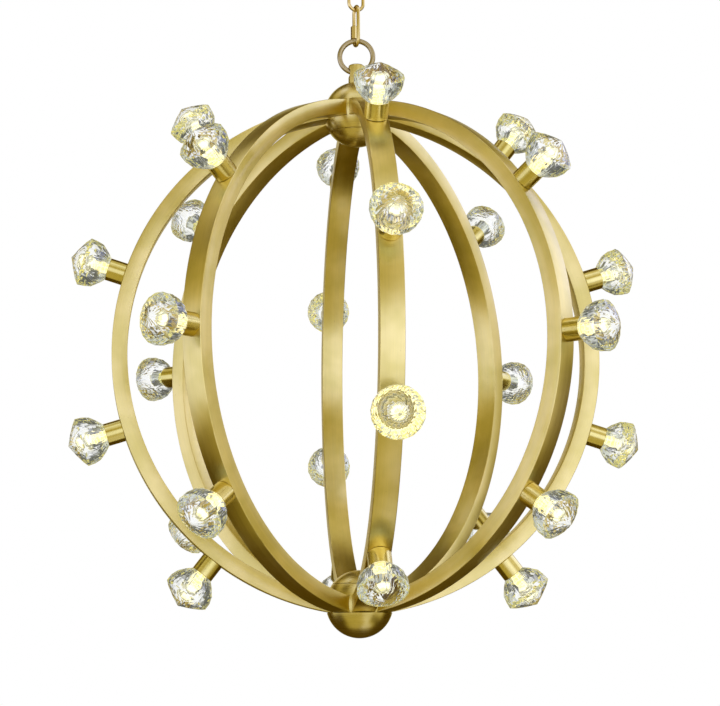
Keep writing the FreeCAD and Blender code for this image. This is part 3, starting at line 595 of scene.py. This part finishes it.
lamp_tree, given = new_geometry("lamps of an arm", {
    "Lamp": "Object", "Count": "Int", "Step": "Float", "Arc radius": "Float",
    "Setback": "Float", "Turn": "Float", "Height": "Float"})
number = add(lamp_tree, "GeometryNodeInputIndex").outputs[0]
count_less = math_node(lamp_tree, "SUBTRACT", given["Count"], 1.0)
steps_up = math_node(lamp_tree, "SUBTRACT", math_node(lamp_tree, "MULTIPLY", number, 2.0),
                     count_less)
lamp_turn = math_node(lamp_tree, "MULTIPLY", steps_up, given["Step"])
level_share = math_node(lamp_tree, "COSINE", lamp_turn)
out = math_node(lamp_tree, "SUBTRACT", math_node(
    lamp_tree, "MULTIPLY", given["Arc radius"], level_share), given["Setback"])
up = math_node(lamp_tree, "MULTIPLY", given["Arc radius"], math_node(lamp_tree, "SINE", lamp_turn))
lean = add(lamp_tree, "FunctionNodeEulerToRotation", {
    0: vector(lamp_tree, y=math_node(lamp_tree, "SUBTRACT", math.pi / 2, lamp_turn))})
seats = add(lamp_tree, "GeometryNodePoints", {"Count": given["Count"],
                                              "Position": vector(lamp_tree, out, z=up)})
lamp = add(lamp_tree, "GeometryNodeObjectInfo", {"Object": given["Lamp"]})
row = add(lamp_tree, "GeometryNodeInstanceOnPoints", {"Points": seats.outputs[0],
                                                      "Instance": lamp.outputs["Geometry"],
                                                      "Rotation": lean.outputs[0]})
axis = vector(
    lamp_tree,
    math_node(lamp_tree, "MULTIPLY", level_share, math_node(lamp_tree, "COSINE", given["Turn"])),
    math_node(lamp_tree, "MULTIPLY", level_share, math_node(lamp_tree, "SINE", given["Turn"])),
    math_node(lamp_tree, "SINE", lamp_turn))
close_geometry(lamp_tree, given, store(lamp_tree, row.outputs[0], "turning axis", axis, "INSTANCE"))


def lamp_row(name, lamp, number, material, smooth_below):
    """One lamp piece set at every lamp place of an arm."""
    return grow(name, lamp_tree, {
        "Lamp": lamp, "Count": 4 if number % 2 else 3, "Step": LAMP_STEP,
        "Arc radius": GLOBE_RADIUS + ARC_SETBACK, "Setback": ARC_SETBACK,
        "Turn": arm_turn(number), "Height": GLOBE_CENTRE.z, "Material": material}, smooth_below)


cup = lathe("cup", [
    (SPIGOT_RADIUS, SPIGOT_END), (SPIGOT_RADIUS, CUP_FOOT), (CUP_RADIUS - CUP_EDGE, CUP_FOOT),
    (CUP_RADIUS, CUP_FOOT + CUP_EDGE), (CUP_RADIUS, CUP_MOUTH - CUP_EDGE),
    (CUP_RADIUS - CUP_EDGE, CUP_MOUTH), (CUP_INSIDE + 0.1, CUP_MOUTH),
    (CUP_INSIDE, CUP_MOUTH - 0.1), (CUP_INSIDE, CUP_FLOOR), (SPIGOT_BORE, CUP_FLOOR),
    (SPIGOT_BORE, SPIGOT_END)], 64)
set_grain(cup.data, round_grain)
cup_brass = brass("turned cup brass", (0.81, 0.67, 0.16), 0.20, streaks=0.6,
                  sheen_along="turning axis", stretch=0.75)


def make_crystal():
    """The cut crystal with its neck and its round-ended bore, as one closed shell."""
    shape = bmesh.new()
    ground = shape.verts.layers.float.new("ground")
    sides = 2 * CRYSTAL_SIDES

    def ring(radius, z, depth=0.0, half=0):
        """Corners at a height; every other one lies in by a valley's depth."""
        reaches = [(i, radius - depth * ((i + half) % 2)) for i in range(sides)]
        return [shape.verts.new((r * math.cos(2 * math.pi * i / sides) * MM,
                                 r * math.sin(2 * math.pi * i / sides) * MM, z * MM))
                for i, r in reaches]

    rows = [ring(radius, CRYSTAL_FOOT + z, depth, half)
            for radius, z, depth, half in CRYSTAL_ROWS]
    for low, high in zip(rows, rows[1:]):
        for i in range(sides):
            j = (i + 1) % sides
            if (low[i].co.xy.length > low[j].co.xy.length) == (i % 2 == 0):
                shape.faces.new((low[i], low[j], high[i]))
                shape.faces.new((low[j], high[j], high[i]))
            else:
                shape.faces.new((low[i], low[j], high[j]))
                shape.faces.new((low[i], high[j], high[i]))
    tip = shape.verts.new((0, 0, (CRYSTAL_FOOT + CRYSTAL_TIP) * MM))
    for i in range(sides):
        shape.faces.new((rows[-1][i], rows[-1][(i + 1) % sides], tip))
    # neck, bore and the bore's round end
    round_faces = []
    neck_top = ring(NECK_RADIUS, CRYSTAL_FOOT)
    for corner in neck_top:
        corner[ground] = NECK_GROUND_AND_GLOW
    for i in range(sides):
        j = (i + 1) % sides
        shape.faces.new((rows[0][i], neck_top[i], neck_top[j], rows[0][j]))
    dome_foot = BORE_END - BORE_RADIUS
    bore_rows = [(NECK_RADIUS, NECK_FOOT, NECK_GROUND_AND_GLOW), (BORE_RADIUS, NECK_FOOT, NECK_GROUND_AND_GLOW),
                 (BORE_RADIUS, dome_foot, 0.0)]
    bore_rows += [(BORE_RADIUS * math.cos(t), dome_foot + BORE_RADIUS * math.sin(t), 1.0)
                  for t in (math.pi / 2 * k / DOME_STEPS for k in range(1, DOME_STEPS))]
    previous = neck_top
    for radius, z, share in bore_rows:
        following = ring(radius, z)
        for corner in following:
            corner[ground] = share
        for i in range(sides):
            j = (i + 1) % sides
            round_faces.append(shape.faces.new(
                (previous[i], following[i], following[j], previous[j])))
        previous = following
    end = shape.verts.new((0, 0, BORE_END * MM))
    end[ground] = 1.0
    for i in range(sides):
        round_faces.append(shape.faces.new((previous[i], end, previous[(i + 1) % sides])))
    for face in round_faces:
        face.smooth = True
    bmesh.ops.recalc_face_normals(shape, faces=shape.faces)
    return from_bmesh("crystal", shape)


# Clear cut crystal. Its neck and its bore's end are ground, and they carry a painted glow that
# stands in for the bulb's light scattered in them. A ray that stays inside for too many bounces
# ends in a painted
# reflection: a mottled emission of grey, with painted gold glints.
CLEAR_COOL = (0.965, 0.985, 0.970, 1)
CLEAR = (0.995, 1.0, 0.985, 1)
GLASS_IOR = 1.52
# Painted glow of the ground neck and bore end, in place of the bulb's light scattered there
PAINTED_BULB_GLOW = (1.0, 0.90, 0.42, 1)
PAINTED_GLOW_POWER = 0.28
GROUND_ROUGHNESS = 0.2
LAST_BOUNCE = 7.5
LAST_GLINT = 3.5
# Painted reflection colours for lost rays: a grey, and gold for painted glints
PAINTED_GREY_REFLECTION = (0.23, 0.26, 0.20, 1)
PAINTED_GOLD_GLINT = (1.0, 0.88, 0.22, 1)


def glass_material():
    material = bpy.data.materials.new("cut crystal")
    material.cycles.emission_sampling = "NONE"
    tree = empty_tree(material)
    own_place = add(tree, "ShaderNodeTexCoord").outputs["Object"]
    veil = noise(tree, own_place, 90.0, 2.0)
    polish = remap(tree, veil, 0.0, 0.02, 0.35, 0.8)
    # The ground share roughens the glass and also sets the strength of the painted glow
    ground = add(tree, "ShaderNodeAttribute", attribute_name="ground").outputs["Fac"]
    glass = add(tree, "ShaderNodeBsdfPrincipled", {
        "Base Color": blend(tree, veil, CLEAR_COOL, CLEAR), "IOR": GLASS_IOR,
        "Transmission Weight": 1.0,
        "Roughness": math_node(tree, "MULTIPLY_ADD", ground, GROUND_ROUGHNESS, polish),
        "Emission Color": PAINTED_BULB_GLOW,
        "Emission Strength": math_node(tree, "MULTIPLY", ground, PAINTED_GLOW_POWER)})
    bounce = add(tree, "ShaderNodeLightPath").outputs
    # Lost rays end in painted reflections: a grey emission with noise patches of painted gold
    # glints
    lost = math_node(
        tree, "MAXIMUM", math_node(tree, "GREATER_THAN", bounce["Ray Depth"], LAST_BOUNCE),
        math_node(tree, "GREATER_THAN", bounce["Glossy Depth"], LAST_GLINT))
    glint_patches = smooth(tree, noise(tree, own_place, 110.0, 1.0), 0.38, 0.62)
    painted_glint_emission = add(tree, "ShaderNodeEmission", {
        "Color": blend(tree, glint_patches, PAINTED_GREY_REFLECTION, PAINTED_GOLD_GLINT), "Strength": 1.0})
    cut_glass = add(tree, "ShaderNodeMixShader", {0: lost, 1: glass.outputs[0],
                                                  2: painted_glint_emission.outputs[0]})
    add(tree, "ShaderNodeOutputMaterial", {"Surface": cut_glass.outputs[0]})
    return material


crystal = make_crystal()
crystal_glass = glass_material()

# Capsule bulb: columns of yellow diode chips in clear resin on a white ceramic foot.
BULB_RADIUS = 6.8
BULB_FOOT = 13.8
BULB_TIP = 45.0
BULB_COLLAR = 18.3
FOOT_EDGE = 0.4
COLLAR_GROOVE = 0.3
CHIP_COLUMNS = 8
CHIP_PITCH = 5.2
CHIP_GAP = 0.14
CHIP_BLUR = 0.08
RESIN_LIGHT = (1.0, 0.91, 0.56, 1)
CHIP_LIGHT = (1.0, 0.76, 0.16, 1)
BULB_POWER = 1.05
FOOT_WHITE = (0.85, 0.84, 0.80, 1)

bulb_top = BULB_TIP - BULB_RADIUS
bulb_dome = [(BULB_RADIUS * math.cos(t), bulb_top + BULB_RADIUS * math.sin(t))
             for t in (math.pi / 2 * k / 8 for k in range(8))]
bulb = lathe("bulb", [
    (0, BULB_FOOT), (BULB_RADIUS - FOOT_EDGE, BULB_FOOT), (BULB_RADIUS, BULB_FOOT + FOOT_EDGE),
    (BULB_RADIUS, BULB_COLLAR - COLLAR_GROOVE), (BULB_RADIUS - COLLAR_GROOVE, BULB_COLLAR),
    (BULB_RADIUS - COLLAR_GROOVE, BULB_COLLAR + COLLAR_GROOVE),
    (BULB_RADIUS, BULB_COLLAR + 2 * COLLAR_GROOVE)]
    + bulb_dome + [(0, BULB_TIP)], 32)
chips = bulb.data.attributes.new("axis", "FLOAT_VECTOR", "POINT")
for vertex, item in zip(bulb.data.vertices, chips.data):
    item.vector = vertex.co


def bulb_material():
    """The lit bulb; its chips follow the axis attribute, a place in the bulb's own frame."""
    material = bpy.data.materials.new("lit capsule bulb")
    tree = empty_tree(material)
    axis = add(tree, "ShaderNodeAttribute", attribute_name="axis").outputs["Vector"]
    part = add(tree, "ShaderNodeSeparateXYZ", {0: axis}).outputs
    turn = math_node(tree, "ARCTAN2", part[1], part[0])
    column = math_node(tree, "FRACT", math_node(
        tree, "MULTIPLY", turn, CHIP_COLUMNS / (2 * math.pi)))
    row = math_node(tree, "FRACT", math_node(tree, "DIVIDE", part[2], CHIP_PITCH * MM))

    def band(value):
        """1 in the middle of a repeat and 0 near both of its ends."""
        low, high = CHIP_GAP - CHIP_BLUR, CHIP_GAP + CHIP_BLUR
        return math_node(tree, "MULTIPLY", smooth(tree, value, low, high),
                         smooth(tree, value, 1 - low, 1 - high))

    chip = math_node(tree, "MULTIPLY", band(column), band(row))
    cap = smooth(tree, part[2], (bulb_top - 0.3) * MM, (bulb_top + 0.3) * MM)
    chip = math_node(tree, "MULTIPLY", chip, math_node(tree, "SUBTRACT", 1.0, cap))
    tip = smooth(tree, part[2], (BULB_TIP - 0.9) * MM, (BULB_TIP - 0.3) * MM)
    chip = math_node(tree, "MAXIMUM", chip, tip)
    lit = smooth(tree, part[2], BULB_COLLAR * MM, (BULB_COLLAR + 1.5) * MM)
    resin = add(tree, "ShaderNodeBsdfPrincipled", {
        "Base Color": FOOT_WHITE, "Roughness": 0.35,
        "Emission Color": blend(tree, chip, RESIN_LIGHT, CHIP_LIGHT),
        "Emission Strength": remap(tree, lit, 0.0, BULB_POWER)})
    add(tree, "ShaderNodeOutputMaterial", {"Surface": resin.outputs[0]})
    material.cycles.emission_sampling = "NONE"
    return material


bulb_light = bulb_material()

for number in range(1, ARM_COUNT + 1):
    cups = lamp_row(f"turned_cups_{number}", cup, number, cup_brass, 30)
    hand_over(cups, "globe", f"lamp_cups_{number}")
    crystals = lamp_row(f"cut_crystals_{number}", crystal, number, crystal_glass, 0)
    hand_over(crystals, "globe", f"crystals_{number}")
    bulbs = lamp_row(f"bulb_row_{number}", bulb, number, bulb_light, 40)
    hand_over(bulbs, "globe", "bulbs")
for pattern in (cup, crystal, bulb):
    bpy.data.objects.remove(pattern)

# Hanging parts: three chain links and an oval screw link of brass wire, a plain ring, and
# the turned post on the upper ball that the ring passes through.
HANGER_TURN = math.radians(-7.2)
LINK_TURN = math.radians(20.0)
ACROSS = HANGER_TURN + LINK_TURN
EDGE_ON = ACROSS - math.pi / 2
LINK_HALF_LENGTH = 17.0
LINK_HALF_WIDTH = 9.0
LINK_WIRE = 2.0
CHAIN_LINKS = [
    # number, height of the middle, body, turn
    (1, -71.8, "first_link", ACROSS), (2, -101.5, "second_link", EDGE_ON),
    (3, -131.2, "third_link", ACROSS)]
WIRE_STEPS = 65
WIRE_SIDES = 24

wire_tree, given = new_geometry("wire link", {
    "Half width": "Float", "Straight": "Float", "Wire radius": "Float", "Gap low": "Float",
    "Gap high": "Float", "Open": "Bool", "Steps": "Int", "Turn": "Float", "Height": "Float"})
loop_path = add(wire_tree, "GeometryNodeCurveArc", {
    "Resolution": given["Steps"], "Radius": given["Half width"], "Start Angle": -math.pi,
    "Sweep Angle": 2 * math.pi}, mode="RADIUS")
spot = add(wire_tree, "ShaderNodeSeparateXYZ",
           {0: add(wire_tree, "GeometryNodeInputPosition").outputs[0]}).outputs
index = add(wire_tree, "GeometryNodeInputIndex").outputs[0]
is_first = math_node(wire_tree, "LESS_THAN", index, 0.5)
is_last = math_node(wire_tree, "GREATER_THAN", index, math_node(
    wire_tree, "SUBTRACT", given["Steps"], 1.5))
is_end = math_node(wire_tree, "ADD", is_first, is_last)
is_inner = math_node(wire_tree, "SUBTRACT", 1.0, is_end)
side = math_node(wire_tree, "SIGN", spot[1])
slide = math_node(wire_tree, "MULTIPLY", math_node(wire_tree, "MULTIPLY", side, given["Straight"]),
                  is_inner)
inner_y = math_node(wire_tree, "MULTIPLY", spot[1], is_inner)
end_y = math_node(wire_tree, "ADD", math_node(wire_tree, "MULTIPLY", is_first, given["Gap low"]),
                  math_node(wire_tree, "MULTIPLY", is_last, given["Gap high"]))
new_y = math_node(wire_tree, "ADD", math_node(wire_tree, "ADD", inner_y, slide), end_y)
loop_path = add(wire_tree, "GeometryNodeSetPosition", {
    "Geometry": loop_path.outputs[0], "Position": vector(wire_tree, spot[0], new_y)})
wire_section = add(wire_tree, "GeometryNodeCurvePrimitiveCircle",
                   {"Resolution": WIRE_SIDES, "Radius": given["Wire radius"]}, mode="RADIUS")
wire = add(wire_tree, "GeometryNodeCurveToMesh", {"Curve": loop_path.outputs[0],
                                                  "Profile Curve": wire_section.outputs[0],
                                                  "Fill Caps": given["Open"]})
wire = add(wire_tree, "GeometryNodeMergeByDistance", {"Geometry": wire.outputs[0],
                                                      "Distance": 1e-6})
wire_place = add(wire_tree, "GeometryNodeInputPosition").outputs[0]
wire_grain = add(wire_tree, "ShaderNodeVectorMath", {0: wire_place, 1: (0.35, 0.35, 0.35)},
                 operation="MULTIPLY")
close_geometry(wire_tree, given, store(wire_tree, wire.outputs[0], "grain", wire_grain.outputs[0]),
               tilt=math.pi / 2)


def wire_link(name, half_length, half_width, wire_radius, height, turn, material, gap=None):
    """An oval of round wire in an upright plane; a gap leaves its left bar open."""
    return grow(name, wire_tree, {
        "Half width": half_width * MM, "Straight": (half_length - half_width) * MM,
        "Wire radius": wire_radius * MM, "Gap low": (gap or (0, 0))[0] * MM,
        "Gap high": (gap or (0, 0))[1] * MM, "Open": gap is not None, "Steps": WIRE_STEPS,
        "Turn": turn, "Height": height * MM, "Material": material}, 40)


link_brass = brass("link brass", (0.80, 0.61, 0.18), 0.20, streaks=0.35)
ring_brass = brass("ring brass", (0.54, 0.43, 0.17), 0.36, streaks=1.0)
for number, height, body, turn in CHAIN_LINKS:
    link = wire_link(f"brass_chain_link_{number}", LINK_HALF_LENGTH, LINK_HALF_WIDTH, LINK_WIRE,
                     height, turn, link_brass)
    hand_over(link, body, f"chain_link_{number}")

QUICK_HALF_LENGTH = 23.9
QUICK_HALF_WIDTH = 7.4
QUICK_WIRE = 2.1
QUICK_CENTRE = -167.7
QUICK_GAP = (-10.1, -2.1)
quick = wire_link("oval_screw_link", QUICK_HALF_LENGTH, QUICK_HALF_WIDTH, QUICK_WIRE,
                  QUICK_CENTRE, EDGE_ON, link_brass, gap=QUICK_GAP)
hand_over(quick, "screw_link", "quick_link")

# Ring: plain thicker brass wire, bent round and brazed, and duller than the links. It hooks
# the screw link to the eye post.
RING_RADIUS = 19.7
RING_WIRE = 3.0
RING_CENTRE = -205.9
hanging_ring = wire_link("plain_hanging_ring", RING_RADIUS, RING_RADIUS, RING_WIRE, RING_CENTRE,
                         HANGER_TURN, ring_brass)
hand_over(hanging_ring, "top_ring", "hanging_ring")

# Sleeve nut: cut from hexagonal brass bar, bored and tapped, and screwed over the gap in
# the screw link's left bar to close the link.
NUT_LOW = -14.1
NUT_HIGH = 1.9
NUT_FLATS = 7.0
NUT_BORE = 2.15
NUT_FACE = 3.3
NUT_CHAMFER = 0.6
nut_corner = NUT_FLATS / math.sqrt(3)
sleeve = lathe("screw_link_sleeve", [
    (NUT_BORE, NUT_LOW), (NUT_FACE, NUT_LOW), (nut_corner, NUT_LOW + NUT_CHAMFER),
    (nut_corner, NUT_HIGH - NUT_CHAMFER), (NUT_FACE, NUT_HIGH), (NUT_BORE, NUT_HIGH)], 6)
shift(sleeve, x=-QUICK_HALF_WIDTH * MM)
sleeve.data.transform(Matrix.Rotation(EDGE_ON, 4, "Z"))
shift(sleeve, z=QUICK_CENTRE * MM)
set_grain(sleeve.data, lambda co: (co.x, co.y, co.z / GRAIN_STRETCH))
sleeve.data.materials.append(link_brass)
finish_mesh(sleeve.data)
hand_over(sleeve, "sleeve_nut", "quick_link_nut")

# Eye post: turned from brass bar, rounded at its end and screwed onto the stem through the
# upper ball. It has a cross hole for the ring and an inlet for a cord behind.
POST_RADIUS = 9.5
POST_SOCKET = 43.0706
POST_STEM = 5.05
POST_PIVOT = 51.236
POST_HOLE = 6.2654
POST_TOP = 60.7014
POST_EDGE = 2.6
SPHERE_SEAT = HUB_RADIUS + 0.1
INLET_RADIUS = 2.0
INLET_HEIGHT = 40.5706
post_edge = [(POST_RADIUS - POST_EDGE * (1 - math.cos(t)), POST_TOP - POST_EDGE * (1 - math.sin(t)))
             for t in (math.pi / 2 * k / 6 for k in range(7))]
post = lathe("turned_eye_post", [
    (0, POST_SOCKET), (POST_STEM, POST_SOCKET),
    (POST_STEM, math.sqrt(SPHERE_SEAT ** 2 - POST_STEM ** 2)),
    (POST_RADIUS, math.sqrt(SPHERE_SEAT ** 2 - POST_RADIUS ** 2))]
    + post_edge + [(0, POST_TOP)], 96)


def rod(radius, start, direction, length, steps=48):
    """A round cutter in mm, from a point along a direction."""
    cutter = lathe("rod", [(0, 0), (radius, 0), (radius, length), (0, length)], steps)
    cutter.data.transform(Vector(direction).to_track_quat("Z", "Y").to_matrix().to_4x4())
    shift(cutter, *(Vector(start) * MM))
    return cutter


cut_away(post, [rod(POST_HOLE, (-20, 0, POST_PIVOT), (1, 0, 0), 40, 64),
                rod(INLET_RADIUS, (0, 1, INLET_HEIGHT), (0, 1, 0), 19, 32)])
set_grain(post.data, round_grain)
set_axis(post.data)
post.data.transform(Matrix.Rotation(HANGER_TURN, 4, "Z"))
shift(post, z=UPPER_BALL * MM)
post.data.materials.append(dome_brass)
finish_mesh(post.data)
hand_over(post, "globe", "eye_post")

# Ceiling fitting: a spun canopy held by a screw collar on the hollow shank of a ring, under
# a zinc-plated steel bar with a locknut and a green earth screw.
CANOPY_RADIUS = 65.0
CANOPY_DEPTH = 24.0
CANOPY_WALL = 1.5
CANOPY_RIM = 4.0
CANOPY_FLAT = 20.0
CANOPY_HOLE = 5.1
CANOPY_STEPS = 24
RIM_EDGE = 0.3


def dish_side(radius, depth, flat, count):
    """The round side of the canopy, from the foot out to the rim."""
    run_out, drop = radius - flat, depth - CANOPY_RIM
    bend = (run_out ** 2 + drop ** 2) / (2 * drop)
    half_turn = math.asin(run_out / bend)
    return [(flat + bend * math.sin(half_turn * k / count),
             bend * (1 - math.cos(half_turn * k / count)) - depth) for k in range(count + 1)]


outer = dish_side(CANOPY_RADIUS, CANOPY_DEPTH, CANOPY_FLAT, CANOPY_STEPS)
inner = dish_side(CANOPY_RADIUS - CANOPY_WALL, CANOPY_DEPTH - CANOPY_WALL,
                  CANOPY_FLAT - CANOPY_WALL, CANOPY_STEPS)
canopy_cup = lathe("spun_canopy", [(CANOPY_HOLE, -CANOPY_DEPTH)] + outer + [
    (CANOPY_RADIUS, -RIM_EDGE), (CANOPY_RADIUS - RIM_EDGE, 0), (CANOPY_RADIUS - CANOPY_WALL, 0)]
    + inner[::-1] + [(CANOPY_HOLE, -CANOPY_DEPTH + CANOPY_WALL)], 160)
canopy_brass = brass("spun canopy brass", (0.80, 0.64, 0.22), 0.30, streaks=0.6)
COLLAR_TOP = -24.05
COLLAR_FOOT = COLLAR_TOP - 9.0
COLLAR_RADIUS = 13.0
COLLAR_BORE = 5.05
COLLAR_CHAMFER = 1.2
collar_face = COLLAR_RADIUS - COLLAR_CHAMFER
collar_ring = lathe("screw_collar", [
    (COLLAR_BORE, COLLAR_TOP), (COLLAR_BORE, COLLAR_FOOT), (collar_face, COLLAR_FOOT),
    (COLLAR_RADIUS, COLLAR_FOOT + COLLAR_CHAMFER), (COLLAR_RADIUS, COLLAR_TOP - COLLAR_CHAMFER),
    (collar_face, COLLAR_TOP)], 96)
turned_brass = brass("turned fitting brass", (0.80, 0.63, 0.21), 0.22, streaks=0.6)
for piece, material, slot, node in ((canopy_cup, canopy_brass, "canopy_brass", "canopy"),
                                    (collar_ring, turned_brass, "turned_brass", "canopy_collar")):
    set_grain(piece.data, round_grain)
    piece.data.materials.append(material)
    finish_mesh(piece.data)
    hand_over(piece, "ceiling_fitting", node)

LOOP_CENTRE = -48.6
LOOP_RADIUS = 11.0
LOOP_WIRE = 2.5
LOOP_BASE_TOP = -33.1
LOOP_BASE_BOTTOM = -39.1
LOOP_BASE_RADIUS = 8.0
LOOP_BASE_EDGE = 0.6
SHANK_RADIUS = 5.0
SHANK_BORE = 3.0
loop_face = LOOP_BASE_RADIUS - LOOP_BASE_EDGE
loop = lathe("ceiling_loop", [
    (0, LOOP_BASE_BOTTOM - 2), (SHANK_BORE, LOOP_BASE_BOTTOM - 2),
    (SHANK_BORE, LOOP_BASE_BOTTOM), (loop_face, LOOP_BASE_BOTTOM),
    (LOOP_BASE_RADIUS, LOOP_BASE_BOTTOM + LOOP_BASE_EDGE),
    (LOOP_BASE_RADIUS, LOOP_BASE_TOP - LOOP_BASE_EDGE), (loop_face, LOOP_BASE_TOP),
    (SHANK_RADIUS, LOOP_BASE_TOP), (SHANK_RADIUS, 0), (0, 0)], 96)
loop_wire = wire_link("loop_wire", LOOP_RADIUS, LOOP_RADIUS, LOOP_WIRE, LOOP_CENTRE, EDGE_ON,
                      turned_brass)
cut_away(loop, [loop_wire], "UNION")
cut_away(loop, [rod(SHANK_BORE, (0, 0, LOOP_CENTRE), (0, 0, 1), 60)])
loop.data.attributes.remove(loop.data.attributes["grain"])
set_grain(loop.data, round_grain)
loop.data.materials.clear()
loop.data.materials.append(turned_brass)
finish_mesh(loop.data)
hand_over(loop, "ceiling_fitting", "canopy_loop")

# Pieces that stay as the CAD has them: the steel of the ceiling fitting, and what the balls,
# arms and cups hide. Zinc-plated steel, a green painted screw, bare brass and white ceramic.
def plain_finish(name, colour, second, metallic, roughness, scale):
    """A worked surface with a mottled colour, uneven gloss and a little relief."""
    material = bpy.data.materials.new(name)
    tree = empty_tree(material)
    own_place = add(tree, "ShaderNodeTexCoord").outputs["Object"]
    mottle = noise(tree, own_place, scale, 4.0, 0.65)
    colours = blend(tree, smooth(tree, mottle, 0.3, 0.7), (*colour, 1), (*second, 1))
    gloss = remap(tree, mottle, roughness * 0.8, roughness * 1.2, 0.3, 0.7)
    relief = add(tree, "ShaderNodeBump", {"Height": mottle, "Strength": 0.15,
                                          "Distance": 0.0001}).outputs["Normal"]
    finish = add(tree, "ShaderNodeBsdfPrincipled", {"Base Color": colours, "Metallic": metallic,
                                                    "Roughness": gloss, "Normal": relief})
    add(tree, "ShaderNodeOutputMaterial", {"Surface": finish.outputs[0]})
    return material


zinc = plain_finish("zinc-plated steel", (0.58, 0.60, 0.63), (0.72, 0.72, 0.70), 1.0, 0.38, 300)
green_paint = plain_finish("green earth screw", (0.02, 0.20, 0.07), (0.04, 0.28, 0.10), 0.6, 0.35,
                           500)
bare_brass = plain_finish("bare machined brass", (0.74, 0.56, 0.22), (0.82, 0.67, 0.33), 1.0, 0.3,
                          400)
ceramic = plain_finish("white ceramic", (0.80, 0.79, 0.75), (0.86, 0.85, 0.82), 0.0, 0.3, 200)
for material, kept in (
        (zinc, ["crossbar", "crossbar_locknut", "upper_arm_screws", "lower_arm_screws",
                "upper_hub_stem", "lower_hub_stem", "upper_stem_nuts", "lower_stem_nuts"]),
        (green_paint, ["ground_screw"]),
        (bare_brass, ["upper_arm_plugs", "lower_arm_plugs", "arm_bushes", "crystal_rings"]),
        (ceramic, ["lampholders"])):
    for name in kept:
        for slot in nodes[name].material_slots:
            slot.material = material
